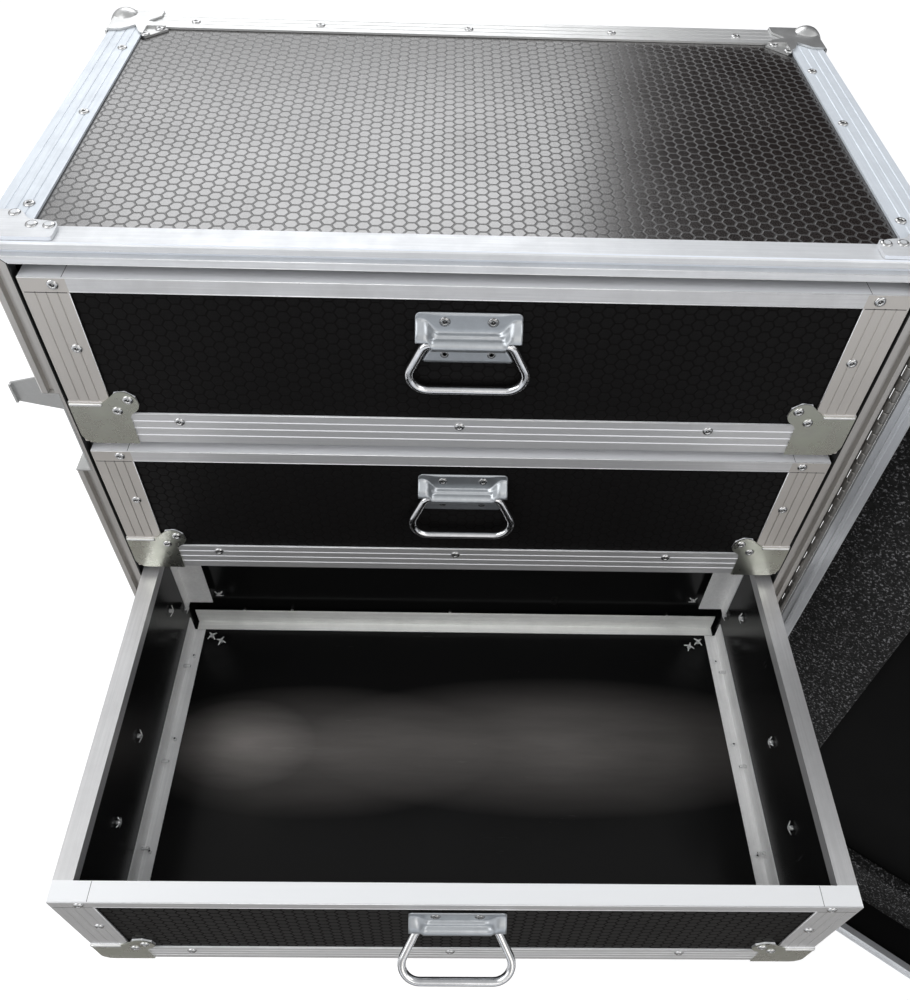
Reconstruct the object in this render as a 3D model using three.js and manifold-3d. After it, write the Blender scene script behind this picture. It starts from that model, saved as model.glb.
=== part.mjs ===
// Upright road case with a hinged front door and five pull-out drawers.
// Millimetres, +Z up. The origin is the middle of the bottom panel's underside.
// The door is shown open and the third drawer from the top is pulled out.
import * as THREE from 'three';
import { mergeVertices } from 'three/addons/utils/BufferGeometryUtils.js';
import Module from 'manifold-3d';

const wasm = await Module();
wasm.setup();

// Overall case
const caseWidth = 720;
const caseHeight = 1100;
const cabinetDepth = 415;
const doorDepth = 94;
const partingGap = 3;
const seatGap = 0.3;
const fuseOverlap = 0.2;
const cutOverrun = 5;
const weldTolerance = 0.001;

// Boards and the angle extrusions that cover their edges
const plyThickness = 9;
const edgeLeg = 35;
const edgeWall = 2;
const edgeRound = 1.6;
const ribPitch = 8.5;
const ribWidth = 1.4;
const ribDepth = 0.6;
const ribCount = 3;

// Closing extrusion round the cabinet's mouth and round the door
const closingFace = 18.5;
const closingLeg = 10;
const closingFlange = 22;
const closingWall = 2;
const grooveWidth = 6.2;
const grooveDepth = 5;
const grooveTaper = 0.9;
const tongueWidth = 4.6;
const tongueHeight = 4;

// Ball corners
const ballRadius = 17;
const ballInset = 9.5;
const ballSegments = 8;
const ballRings = 6;
const cornerReach = 47;
const cornerLegWidth = 26;
const cornerSheet = 2;
const cornerStop = 35.3;
const lobeRadius = 8;
const lobeAlong = 51;
const lobeAcross = 40;
const lobeSteps = 2;

// Flat brackets at the cabinet's mouth
const bracketLength = 57;
const bracketReturn = 38;
const bracketSheet = 3;
const bracketOutlineShares = [
  [0, 0.06], [1, 0.06], [1, 0.5], [0.96, 0.6], [0.6, 0.69], [0.46, 1], [0, 1],
];
const bracketRivetShares = [[0.37, 0.88, 0], [0.67, 0.49, 1], [0.89, 0.47, 1]];
const rivetRadius = 4.6;
const rivetHeadHeight = 1.6;
const rivetTopShare = 0.6;
const rivetShankRadius = 2.4;
const rivetSides = 6;

// Drawers, counted from the top
const shallowDrawerHeight = 175;
const shallowDrawerCount = 3;
const deepDrawerCount = 2;
const drawerGap = 13;
const drawerMargin = 30;
const drawerSideClearance = 21;
const drawerRearClearance = 15;
const drawerWidth = caseWidth - 2 * drawerSideClearance;
const drawerLength = cabinetDepth - drawerRearClearance;
const drawerFloor = 9;
const drawerWall = 1.5;
const pullShare = 0.83;
const drawerPull = drawerLength * pullShare;
const pulledDrawerIndex = 3;
const railFace = 17.4;
const railDepth = 13;
const railWall = 1.2;
const drawerSideLeg = 25;
const innerAngleWidth = 20;
const innerAngleHeight = 25;
const innerAngleWall = 1.5;
const backAngleWidth = 38;
const backAngleReturn = 14;
const backAngleDrop = 8;

// Pressed braces at each drawer's bottom front corners
const braceHeight = 48;
const braceWidth = 48;
const braceShoulder = 35;
const braceWaist = 29;
const braceEar = 46.5;
const braceEarRadius = 12.5;
const braceEarSteps = 4;
const braceSheetShown = 1;
const braceRound = 10;
const braceReturn = 22;

// Drawer slides
const slideHeight = 45;
const slideSheet = 1.5;
const slideEndClearance = 60;
const slideLength = drawerLength - slideEndClearance;
const slideSetback = 42;
const slideReach = 9;
const slideClearance = 0.7;
const runnerReach = 3.6;

// Surface handles
const handleWidth = 84.5;
const handleHeight = 50;
const handleTop = 25;
const handleSheet = 1.5;
const handleAxisDrop = 28.4;
const handleLowerWidth = 77.5;
const handleWaistWidth = 59.5;
const handleRound = 5;
const barrelLength = 59.5;
const barrelClearance = 0.4;
const barrelSteps = 4;
const bailWire = 7.6;
const bailDrop = 48.3;
const bailTopWidth = 70;
const bailBottomWidth = 101;
const bailTopRound = 5;
const bailBottomRound = 14;
const bailSides = 6;
const bailBendSteps = 3;
const bailTilts = [0, 8, 45, 0, 0];

// Recessed latches on the free side
const latchHeight = 97;
const latchDropFromTop = 196.5;
const latchRiseFromBottom = 265;
const dishDepth = 62;
const keeperDepth = 34;
const dishRecess = 15;
const dishSheet = 1.5;
const dishLip = 7;
const hookLength = 66;
const hookBaseHeight = 50;
const hookTipHeight = 22;
const hookSheet = 2;
const hookLip = 3;
const hookInset = 8;
const hookSetback = 54;
const hookBarrelRadius = 3.4;
const hookBoreRadius = 2.2;
const hookPinRadius = 1.6;
const hookClearance = 0.5;
const lugThickness = 4;
const lugGap = 1;
const wingSetback = 34;
const wingLength = 40;
const wingWidth = 14;
const wingWaist = 8;
const wingSheet = 2;
const wingStudRadius = 2.6;
const wingHeadRadius = 4.2;
const wingHeadSheet = 1;
const ridgeSetback = 8;
const ridgeWidth = 2;
const ridgeHeight = 3;

// Full-length hinge
const hingeMargin = 48;
const knuckleLength = 12.7;
const knuckleRadius = 3.1;
const knuckleGap = 0.4;
const knuckleSides = 6;
const hingeBoreRadius = 2.3;
const hingeBoreSides = 4;
const hingePinRadius = 1.4;
const hingePinHeadRadius = 2.8;
const hingePinHead = 1.5;
const hingeSheet = 1.2;
const hingeLeafWidth = 20;
const doorRestAngle = 144.4;

// Foam ring in the door
const foamSetback = 62;
const foamSideWidth = 115;
const foamEndWidth = 90;

// Places that several pieces share
const half = 0.5;
const halfWidth = caseWidth * half;
const skin = edgeWall + seatGap;
const lining = skin + plyThickness;
const topOuter = caseHeight - skin;
const bottomOuter = -skin;
const midHeight = (bottomOuter + topOuter) * half;
const mouth = -cabinetDepth * half;
const backOuter = cabinetDepth * half;
const drawerSkin = drawerWall + seatGap;
const drawerPly = railFace - drawerSkin - seatGap - railWall;
const hingeAxisX = halfWidth + seatGap + knuckleRadius;
const hingeAxisY = mouth - partingGap * half;
const doorMouth = mouth - partingGap;
const doorOuter = doorMouth - doorDepth;
const deepDrawerHeight = (caseHeight - 2 * drawerMargin + drawerGap
  - shallowDrawerCount * (shallowDrawerHeight + drawerGap)) / deepDrawerCount - drawerGap;
const drawerHeights = [
  ...Array(shallowDrawerCount).fill(shallowDrawerHeight),
  ...Array(deepDrawerCount).fill(deepDrawerHeight),
];
const drawerTops = drawerHeights.map((height, i) => topOuter - drawerMargin
  - drawerHeights.slice(0, i).reduce((sum, h) => sum + h + drawerGap, 0));
const latchHeights = {
  upper: topOuter - latchDropFromTop,
  lower: bottomOuter + latchRiseFromBottom,
};

const X = new THREE.Vector3(1, 0, 0);
const Y = new THREE.Vector3(0, 1, 0);
const Z = new THREE.Vector3(0, 0, 1);
const minusX = X.clone().negate();
const minusY = Y.clone().negate();
const minusZ = Z.clone().negate();

function finish(color, roughness, metalness) {
  return () => new THREE.MeshStandardMaterial({ color, roughness, metalness, flatShading: true });
}

const hexPly = finish(0x2b2725, 0.45, 0);
const aluminium = finish(0xc9ccd0, 0.35, 1);
const zincSteel = finish(0xb9bcbb, 0.3, 1);
const polishedSteel = finish(0xd4d6d8, 0.18, 1);
const foamRubber = finish(0x2a2a2a, 0.95, 0);

// Solids

function point(x, y, z) {
  return new THREE.Vector3(x, y, z);
}

function facingOut(geometry) {
  const bare = new THREE.BufferGeometry();
  bare.setAttribute('position', geometry.getAttribute('position'));
  if (geometry.index) bare.setIndex(geometry.index);
  const welded = mergeVertices(bare, weldTolerance);
  const at = welded.getAttribute('position');
  const corners = [point(0, 0, 0), point(0, 0, 0), point(0, 0, 0)];
  let triangles = [];
  let volume = 0;
  for (let i = 0; i < welded.index.count; i += 3) {
    const [p, q, r] = [welded.index.getX(i), welded.index.getX(i + 1), welded.index.getX(i + 2)];
    if (p !== q && q !== r && r !== p) {
      [p, q, r].forEach((index, k) => corners[k].fromBufferAttribute(at, index));
      volume += corners[0].dot(corners[1].cross(corners[2]));
      triangles.push([p, q, r]);
    }
  }
  if (volume < 0) triangles = triangles.map(([p, q, r]) => [q, p, r]);
  return { places: at.array, triangles: triangles.flat() };
}

function solid(geometry) {
  const { places, triangles } = facingOut(geometry);
  return new wasm.Manifold(new wasm.Mesh({
    numProp: 3,
    vertProperties: new Float32Array(places),
    triVerts: new Uint32Array(triangles),
  }));
}

function joined(bodies) {
  return bodies.reduce((all, body) => all.add(body));
}

function meshOf(name, body, material) {
  const result = body.getMesh();
  const geometry = new THREE.BufferGeometry();
  geometry.setAttribute('position', new THREE.BufferAttribute(new Float32Array(result.vertProperties), 3));
  geometry.setIndex(new THREE.BufferAttribute(new Uint32Array(result.triVerts), 1));
  const mesh = new THREE.Mesh(geometry, material());
  mesh.name = name;
  return mesh;
}

function span(centre, reach) {
  return [centre - reach, centre + reach];
}

function block(xs, ys, zs) {
  const low = point(Math.min(...xs), Math.min(...ys), Math.min(...zs));
  const high = point(Math.max(...xs), Math.max(...ys), Math.max(...zs));
  const size = high.clone().sub(low);
  const geometry = new THREE.BoxGeometry(size.x, size.y, size.z);
  const middle = low.add(high).multiplyScalar(half);
  geometry.translate(middle.x, middle.y, middle.z);
  return solid(geometry);
}

function basis(right, up, out, origin) {
  return new THREE.Matrix4().makeBasis(right, up, out).setPosition(origin);
}

function shapeOf(points) {
  return new THREE.Shape(points.map(([a, b]) => new THREE.Vector2(a, b)));
}

function slab(points, thickness, matrix) {
  const geometry = new THREE.ExtrudeGeometry(shapeOf(points), { depth: thickness, bevelEnabled: false });
  geometry.applyMatrix4(matrix);
  return solid(geometry);
}

// Rounds the corners of an outline; one radius for each corner
function softened(points, radii, steps) {
  return points.flatMap((corner, i) => {
    if (!radii[i]) return [corner];
    const middle = new THREE.Vector2(...corner);
    const before = new THREE.Vector2(...points[(i + points.length - 1) % points.length]).sub(middle);
    const after = new THREE.Vector2(...points[(i + 1) % points.length]).sub(middle);
    const bend = new THREE.QuadraticBezierCurve(
      middle.clone().add(before.setLength(radii[i])),
      middle,
      middle.clone().add(after.setLength(radii[i])),
    );
    return bend.getPoints(steps).map((p) => [p.x, p.y]);
  });
}

function arc(centreA, centreB, radius, from, to, steps) {
  return Array.from({ length: steps + 1 }, (_, k) => {
    const turn = from + (to - from) * k / steps;
    return [centreA + radius * Math.cos(turn), centreB + radius * Math.sin(turn)];
  });
}

// A straight bar whose section runs inward and back from a corner line.
// Each end is shortened by the cut, which may depend on the place in the section.
function bar(section, start, inward, back, length, cut) {
  const geometry = new THREE.ExtrudeGeometry(shapeOf(section), { depth: length, bevelEnabled: false });
  const at = geometry.getAttribute('position');
  for (let i = 0; i < at.count; i += 1) {
    const trim = cut(at.getX(i));
    at.setZ(i, at.getZ(i) > length * half ? length - trim : trim);
  }
  geometry.applyMatrix4(basis(inward, back, inward.clone().cross(back), start));
  return solid(geometry);
}

const squareCut = () => 0;
const mitreCut = (inward) => inward + seatGap * half;

// Carries a section through stations; each station turns a section point into a place
function swept(section, stations, closed) {
  const count = section.length;
  const places = stations.flatMap((station) => section.flatMap(([a, b]) => station(a, b).toArray()));
  const faces = [];
  const runs = closed ? stations.length : stations.length - 1;
  for (let k = 0; k < runs; k += 1) {
    const here = k * count;
    const next = ((k + 1) % stations.length) * count;
    for (let i = 0; i < count; i += 1) {
      const j = (i + 1) % count;
      faces.push(here + i, here + j, next + j, here + i, next + j, next + i);
    }
  }
  if (!closed) {
    const flat = section.map(([a, b]) => new THREE.Vector2(a, b));
    const end = (stations.length - 1) * count;
    const windsBack = THREE.ShapeUtils.isClockWise(flat);
    THREE.ShapeUtils.triangulateShape(flat, []).forEach(([p, q, r]) => {
      const cap = windsBack ? [r, q, p] : [p, q, r];
      faces.push(cap[0], cap[2], cap[1], end + cap[0], end + cap[1], end + cap[2]);
    });
  }
  const geometry = new THREE.BufferGeometry();
  geometry.setAttribute('position', new THREE.BufferAttribute(new Float32Array(places), 3));
  geometry.setIndex(faces);
  return solid(geometry);
}

// A ring with mitred corners: a runs inward from a rectangle, b runs along depth
function ring(section, centre, right, up, depth, width, height) {
  const corners = [[-1, -1], [1, -1], [1, 1], [-1, 1]];
  return swept(section, corners.map(([sideX, sideY]) => (a, b) => centre.clone()
    .addScaledVector(right, sideX * (width * half - a))
    .addScaledVector(up, sideY * (height * half - a))
    .addScaledVector(depth, b)), true);
}

function rod(radius, from, to, sides, farRadius = radius) {
  const geometry = new THREE.CylinderGeometry(farRadius, radius, from.distanceTo(to), sides);
  geometry.rotateY(Math.PI / sides);
  const turn = new THREE.Quaternion().setFromUnitVectors(Y, to.clone().sub(from).normalize());
  geometry.applyQuaternion(turn);
  const middle = from.clone().add(to).multiplyScalar(half);
  geometry.translate(middle.x, middle.y, middle.z);
  return solid(geometry);
}

// Sections

function ribs(from, to) {
  const way = Math.sign(to - from);
  return Array.from({ length: ribCount }, (_, k) => from + way * (k + 1) * ribPitch)
    .flatMap((middle) => [
      [middle - way * ribWidth * half, 0], [middle, ribDepth], [middle + way * ribWidth * half, 0],
    ]);
}

// Angle extrusion with shallow ribs in both outer faces
function edgeSection() {
  return [
    [0, edgeLeg], [edgeWall, edgeLeg], [edgeWall, edgeWall], [edgeLeg, edgeWall], [edgeLeg, 0],
    ...ribs(edgeLeg, 0), [edgeRound, 0], [0, edgeRound],
    ...ribs(0, edgeLeg).map(([along, across]) => [across, along]),
  ];
}

// Thinner angle for the drawers, ribbed on its front face only
function drawerEdgeSection() {
  return [
    [0, drawerSideLeg], [drawerWall, drawerSideLeg], [drawerWall, drawerWall],
    [edgeLeg, drawerWall], [edgeLeg, 0], ...ribs(edgeLeg, 0), [0, 0],
  ];
}

// The closing section shared by the cabinet, with a groove, and the door, with a tongue
function closingSection(withTongue) {
  const middle = closingFace * half;
  const wide = (withTongue ? tongueWidth : grooveWidth) * half;
  const narrow = wide - grooveTaper;
  const root = withTongue ? -tongueHeight : grooveDepth;
  const grooveBack = [
    [middle + wide + closingWall, closingWall], [middle + narrow + closingWall, root + closingWall],
    [middle - narrow - closingWall, root + closingWall], [middle - wide - closingWall, closingWall],
  ];
  return [
    [0, closingFlange], [0, edgeRound], [edgeRound, 0],
    [middle - wide, 0], [middle - narrow, root], [middle + narrow, root], [middle + wide, 0],
    [closingFace - edgeRound * half, 0], [closingFace, edgeRound * half], [closingFace, closingLeg],
    [closingFace - closingWall, closingLeg], [closingFace - closingWall, closingWall],
    ...(withTongue ? [] : grooveBack),
    [closingWall, closingWall], [closingWall, closingFlange],
  ];
}

// Corners and brackets

// Two legs along the edges and a foot with two lobes on the board
function cornerOutline() {
  const quarter = Math.PI / 4;
  const first = arc(lobeAlong, lobeAcross, lobeRadius, -2 * quarter, 2 * quarter, lobeSteps);
  const second = first.map(([a, b]) => [b, a]).reverse();
  return [
    [ballInset, 0], [cornerReach, 0], [cornerReach, cornerLegWidth * half],
    [(cornerReach + cornerLegWidth) * half, cornerLegWidth],
    ...first, ...second,
    [cornerLegWidth, (cornerReach + cornerLegWidth) * half],
    [cornerLegWidth * half, cornerReach], [0, cornerReach], [0, ballInset],
  ];
}

// The foot steps down from the edge extrusions to the board
function cornerPlate(vertex, right, up, inward, base) {
  const out = inward.clone().negate();
  const reach = cornerReach + lobeAlong;
  const top = seatGap + cornerSheet;
  const layer = (outline, low, high) => slab(outline, high - low,
    basis(right, up, out, vertex.clone().addScaledVector(out, low)));
  const square = (from, low, high) => layer(
    [[from, from], [reach, from], [reach, reach], [from, reach]], low, high);
  const stepStart = cornerStop + seatGap;
  const under = square(-cutOverrun, -edgeWall - cutOverrun, base)
    .subtract(square(stepStart, -edgeWall - 2 * cutOverrun, top));
  const dip = square(stepStart + cornerSheet, cornerSheet - edgeWall, top + cutOverrun);
  return layer(cornerOutline(), -edgeWall, top).subtract(under).subtract(dip);
}

// A ball corner at a vertex; the three directions point into the case
function ballCorner(vertex, inX, inY, inZ, base) {
  const inset = (distance) => vertex.clone().addScaledVector(inX, distance)
    .addScaledVector(inY, distance).addScaledVector(inZ, distance);
  const ball = new THREE.SphereGeometry(ballRadius, ballSegments, ballRings);
  ball.rotateX(Math.PI * half);
  const centre = inset(ballInset);
  ball.translate(centre.x, centre.y, centre.z);
  const near = inset(edgeWall);
  const far = inset(ballInset + ballRadius + cutOverrun);
  const dome = solid(ball).subtract(block([near.x, far.x], [near.y, far.y], [near.z, far.z]));
  return joined([
    dome,
    cornerPlate(vertex, inX, inY, inZ, base),
    cornerPlate(vertex, inY, inZ, inX, base),
    cornerPlate(vertex, inZ, inX, inY, base),
  ]);
}

function rivet(place, outward, grip) {
  const head = rod(rivetRadius, place, place.clone().addScaledVector(outward, rivetHeadHeight),
    rivetSides, rivetRadius * rivetTopShare);
  const shank = rod(rivetShankRadius, place.clone().addScaledVector(outward, -grip),
    place.clone().addScaledVector(outward, rivetHeadHeight * half), rivetSides);
  return head.add(shank);
}

// A bent bracket at a front corner: one leaf on the end face, one on the side
function frontBracket(vertex, inX, inZ) {
  const out = inZ.clone().negate();
  const sideways = inX.clone().negate();
  const wrap = seatGap + bracketSheet;
  const outline = bracketOutlineShares
    .map(([a, b]) => [a * (bracketLength + wrap) - wrap, b * bracketReturn]);
  const radii = [0, bracketSheet, bracketSheet, 0, bracketSheet, bracketSheet, 0];
  const endLeaf = slab(softened(outline, radii, 2), bracketSheet,
    basis(inX, Y, out, vertex.clone().addScaledVector(out, seatGap)));
  const sideLeaf = slab(
    [[outline[0][1], -wrap], [outline[0][1], bracketReturn], [bracketReturn * half, bracketReturn],
      [bracketReturn, bracketReturn * half], [bracketReturn, -wrap]],
    bracketSheet, basis(Y, inZ, sideways, vertex.clone().addScaledVector(sideways, seatGap)));
  const rivets = bracketRivetShares.map(([a, b, through]) => rivet(
    vertex.clone().addScaledVector(inX, a * bracketLength).addScaledVector(Y, b * bracketReturn)
      .addScaledVector(out, wrap - fuseOverlap),
    out, through ? wrap + edgeWall * half : bracketSheet * half));
  return joined([endLeaf, sideLeaf, ...rivets]);
}

// Latches

function dishHollow(z, front, way, depth) {
  return block(
    [-halfWidth - cutOverrun, -halfWidth + dishRecess - dishSheet],
    [front - way * cutOverrun, front + way * (depth - dishSheet)],
    span(z, latchHeight * half - dishSheet),
  );
}

// Opening for a dish in the boards and the closing frames; give widens or narrows it
function dishCut(z, front, way, depth, give) {
  return block(
    [-halfWidth - cutOverrun, -halfWidth + dishRecess + give],
    [front - way * cutOverrun, front + way * (depth + give)],
    span(z, latchHeight * half + give),
  );
}

// Open dish with a lip that lies on the side board behind the closing frame
function dish(z, front, way, depth) {
  const lipOuter = -halfWidth + skin - seatGap - dishSheet;
  const shell = block([lipOuter, -halfWidth + dishRecess], [front, front + way * depth],
    span(z, latchHeight * half));
  const lip = block([lipOuter, lipOuter + dishSheet],
    [front + way * (closingFlange + seatGap), front + way * (depth + dishLip)],
    span(z, latchHeight * half + dishLip));
  return shell.add(lip).subtract(dishHollow(z, front, way, depth));
}

function latchPivot(z) {
  return point(-halfWidth + hookInset, mouth + hookSetback, z);
}

// Cabinet half of a latch: the dish, two lugs on its floor and the pivot pin
function latchDish(z) {
  const pivot = latchPivot(z);
  const floor = -halfWidth + dishRecess - dishSheet;
  const inner = hookBaseHeight * half + lugGap;
  const lugs = [-1, 1].map((side) => block(
    [pivot.x - hookBarrelRadius, floor + fuseOverlap],
    span(pivot.y, hookBarrelRadius),
    [z + side * inner, z + side * (inner + lugThickness)],
  ));
  const reach = inner + lugThickness * half;
  const pin = rod(hookPinRadius, pivot.clone().addScaledVector(Z, -reach),
    pivot.clone().addScaledVector(Z, reach), bailSides);
  return joined([dish(z, mouth, 1, dishDepth), ...lugs, pin]);
}

// The hook stands straight out from the side, its lip towards the front
function latchHook(z) {
  const pivot = latchPivot(z);
  const plate = [
    [0, -hookBaseHeight * half], [hookInset + hookBarrelRadius, -hookBaseHeight * half],
    [hookLength, -hookTipHeight * half], [hookLength, hookTipHeight * half],
    [hookInset + hookBarrelRadius, hookBaseHeight * half], [0, hookBaseHeight * half],
  ];
  const face = pivot.clone().addScaledVector(Y, -hookSheet * half);
  const leaf = slab(plate, hookSheet, basis(minusX, Z, Y, face));
  const tip = pivot.x - hookLength;
  const lip = block([tip, tip + hookSheet], [face.y - hookLip, pivot.y], span(z, hookTipHeight * half));
  const ends = (radius, reach) => rod(radius, pivot.clone().addScaledVector(Z, -reach),
    pivot.clone().addScaledVector(Z, reach), bailSides);
  const barrel = ends(hookBarrelRadius, hookBaseHeight * half);
  const bore = ends(hookBoreRadius, hookBaseHeight * half + cutOverrun);
  const stud = pivot.clone().addScaledVector(minusX, wingSetback);
  const studHole = rod(wingStudRadius + hookClearance, stud.clone().addScaledVector(Y, -cutOverrun),
    stud.clone().addScaledVector(Y, cutOverrun), bailSides);
  return joined([leaf, lip, barrel]).subtract(bore).subtract(studHole);
}

// Butterfly wing with a stud through the hook and a head behind it
function latchWing(z) {
  const stud = latchPivot(z).addScaledVector(minusX, wingSetback);
  const near = stud.y + hookSheet * half + hookClearance;
  const far = stud.y - hookSheet * half - hookClearance;
  const reach = wingLength * half;
  const outline = softened([
    [-reach, -wingWidth * half], [0, -wingWaist * half], [reach, -wingWidth * half],
    [reach, wingWidth * half], [0, wingWaist * half], [-reach, wingWidth * half],
  ], [wingWaist * half, 0, wingWaist * half, wingWaist * half, 0, wingWaist * half], 2);
  const wing = slab(outline, wingSheet, basis(minusX, Z, Y, point(stud.x, near, stud.z)));
  const along = (y) => point(stud.x, y, stud.z);
  const shank = rod(wingStudRadius, along(near + wingSheet * half), along(far - wingHeadSheet * half),
    bailSides);
  const head = rod(wingHeadRadius, along(far), along(far - wingHeadSheet), bailSides);
  return joined([wing, shank, head]);
}

// Keeper half of a latch, fused with the door's frame
function latchKeeper(z) {
  const floor = -halfWidth + dishRecess - dishSheet;
  const ridge = block([floor - ridgeHeight, floor + fuseOverlap],
    [doorMouth - ridgeSetback, doorMouth - ridgeSetback - ridgeWidth], span(z, hookTipHeight));
  return dish(z, doorMouth, -1, keeperDepth).add(ridge);
}

// Hinge

function hingeLeaf(way, oddKnuckles) {
  const low = bottomOuter + hingeMargin;
  const high = topOuter - hingeMargin;
  const count = Math.floor((high - low) / knuckleLength);
  const knuckle = (high - low) / count;
  const round = rod(knuckleRadius, point(hingeAxisX, hingeAxisY, low),
    point(hingeAxisX, hingeAxisY, high), knuckleSides);
  const leafX = [halfWidth + seatGap, halfWidth + seatGap + hingeSheet];
  const leaf = block(leafX, [hingeAxisY, hingeAxisY + way * hingeLeafWidth], [low, high]);
  const bore = rod(hingeBoreRadius, point(hingeAxisX, hingeAxisY, low - cutOverrun),
    point(hingeAxisX, hingeAxisY, high + cutOverrun), hingeBoreSides);
  const slots = [];
  for (let k = oddKnuckles ? 0 : 1; k < count; k += 2) {
    const overLow = k === 0 ? cutOverrun : knuckleGap * half;
    const overHigh = k === count - 1 ? cutOverrun : knuckleGap * half;
    slots.push(block(
      span(hingeAxisX, knuckleRadius + cutOverrun),
      [hingeAxisY - way * (knuckleRadius + cutOverrun), hingeAxisY + way * (knuckleRadius + knuckleGap)],
      [low + k * knuckle - overLow, low + (k + 1) * knuckle + overHigh],
    ));
  }
  return round.add(leaf).subtract(bore).subtract(joined(slots));
}

function hingePin() {
  const low = point(hingeAxisX, hingeAxisY, bottomOuter + hingeMargin - knuckleGap);
  const high = point(hingeAxisX, hingeAxisY, topOuter - hingeMargin + knuckleGap);
  return joined([
    rod(hingePinRadius, low.clone().addScaledVector(Z, -hingePinHead * half),
      high.clone().addScaledVector(Z, hingePinHead * half), knuckleSides),
    rod(hingePinHeadRadius, low.clone().addScaledVector(Z, -hingePinHead), low, knuckleSides),
    rod(hingePinHeadRadius, high, high.clone().addScaledVector(Z, hingePinHead), knuckleSides),
  ]);
}

// Cabinet

// Fixed half of each drawer slide, a channel that opens towards the drawer
function sideChannels(side) {
  const reach = slideHeight * half;
  const outline = [
    [0, -reach], [slideReach, -reach], [slideReach, slideSheet - reach], [slideSheet, slideSheet - reach],
    [slideSheet, reach - slideSheet], [slideReach, reach - slideSheet], [slideReach, reach], [0, reach],
  ];
  return drawerTops.map((top, i) => slab(outline, slideLength, basis(
    X.clone().multiplyScalar(-side), Z, Y,
    point(side * (halfWidth - lining + fuseOverlap), mouth + slideSetback, top - drawerHeights[i] * half),
  )));
}

function cabinetBoards() {
  const sideOuter = halfWidth - skin;
  const sideInner = halfWidth - lining;
  const backInner = backOuter - lining;
  const depthRun = [mouth + grooveDepth + closingWall + seatGap, backInner - seatGap];
  const heightRun = [plyThickness + seatGap, topOuter - lining - seatGap];
  const leftBoard = Object.values(latchHeights).reduce(
    (board, z) => board.subtract(dishCut(z, mouth, 1, dishDepth, seatGap)),
    block([-sideOuter, -sideInner], depthRun, heightRun),
  );
  const rightBoard = block([sideInner, sideOuter], depthRun, heightRun);
  return [
    meshOf('top_panel', block(span(0, sideOuter), depthRun, [topOuter - lining, topOuter - skin]), hexPly),
    meshOf('bottom_panel', block(span(0, sideOuter), depthRun, [0, plyThickness]), hexPly),
    meshOf('back_panel', block(span(0, sideOuter), [backInner, backOuter - skin], [0, topOuter - skin]),
      hexPly),
    meshOf('left_panel', joined([leftBoard, ...sideChannels(-1)]), hexPly),
    meshOf('right_panel', joined([rightBoard, ...sideChannels(1)]), hexPly),
  ];
}

function cabinetEdges() {
  const section = edgeSection();
  const front = mouth + closingFlange + seatGap;
  const runY = backOuter - cornerStop - front;
  const runX = caseWidth - 2 * cornerStop;
  const runZ = caseHeight - 2 * cornerStop;
  const edges = [
    ['edge_top_left', point(-halfWidth, front, topOuter), X, minusZ, runY],
    ['edge_top_right', point(halfWidth, front, topOuter), minusZ, minusX, runY],
    ['edge_bottom_left', point(-halfWidth, front, bottomOuter), Z, X, runY],
    ['edge_bottom_right', point(halfWidth, front, bottomOuter), minusX, Z, runY],
    ['edge_back_left', point(-halfWidth, backOuter, bottomOuter + cornerStop), minusY, X, runZ],
    ['edge_back_right', point(halfWidth, backOuter, bottomOuter + cornerStop), minusX, minusY, runZ],
    ['edge_back_top', point(-halfWidth + cornerStop, backOuter, topOuter), minusY, minusZ, runX],
    ['edge_back_bottom', point(-halfWidth + cornerStop, backOuter, bottomOuter), Z, minusY, runX],
  ];
  return edges.map(([name, start, inward, back, length]) => meshOf(name,
    bar(section, start, inward, back, length, squareCut), aluminium));
}

function cabinetFrame() {
  const section = closingSection(false);
  const side = (start, inward, back, length) => bar(section, start, inward, back, length, mitreCut);
  const corner = (sideX, z) => point(sideX * halfWidth, mouth, z);
  const brackets = (z, inZ) => [
    frontBracket(corner(-1, z), X, inZ), frontBracket(corner(1, z), minusX, inZ),
  ];
  const left = Object.values(latchHeights).reduce(
    (body, z) => body.subtract(dishCut(z, mouth, 1, dishDepth, seatGap)),
    side(corner(-1, bottomOuter), X, Y, caseHeight),
  );
  const top = side(corner(-1, topOuter), minusZ, Y, caseWidth);
  const bottom = side(corner(1, bottomOuter), Z, Y, caseWidth);
  return [
    meshOf('frame_top', joined([top, ...brackets(topOuter, minusZ)]), aluminium),
    meshOf('frame_bottom', joined([bottom, ...brackets(bottomOuter, Z)]), aluminium),
    meshOf('frame_left', left, aluminium),
    meshOf('frame_right', side(corner(1, topOuter), minusX, Y, caseHeight), aluminium),
  ];
}

function cabinetCorners() {
  const ends = { top: [topOuter, minusZ], bottom: [bottomOuter, Z] };
  const sides = { left: [-halfWidth, X], right: [halfWidth, minusX] };
  return Object.entries(ends).flatMap(([end, [z, inZ]]) => Object.entries(sides)
    .map(([side, [x, inX]]) => meshOf(`ball_corner_${end}_${side}`,
      ballCorner(point(x, backOuter, z), inX, minusY, inZ, seatGap), zincSteel)));
}

function cabinetLatches() {
  return Object.entries(latchHeights).flatMap(([place, z]) => [
    meshOf(`latch_dish_${place}`, latchDish(z), zincSteel),
    meshOf(`latch_hook_${place}`, latchHook(z), polishedSteel),
    meshOf(`latch_wing_${place}`, latchWing(z), polishedSteel),
  ]);
}

// Door, built closed and then swung about the hinge

function doorWalls() {
  const section = [
    [skin, closingWall + seatGap], [skin, doorDepth - lining - seatGap],
    [lining, doorDepth - lining - seatGap], [lining, closingWall + seatGap],
  ];
  const walls = ring(section, point(0, doorMouth, midHeight), X, Z, minusY, caseWidth, caseHeight);
  return Object.values(latchHeights).reduce(
    (body, z) => body.subtract(dishCut(z, doorMouth, -1, keeperDepth, seatGap)), walls);
}

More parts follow.
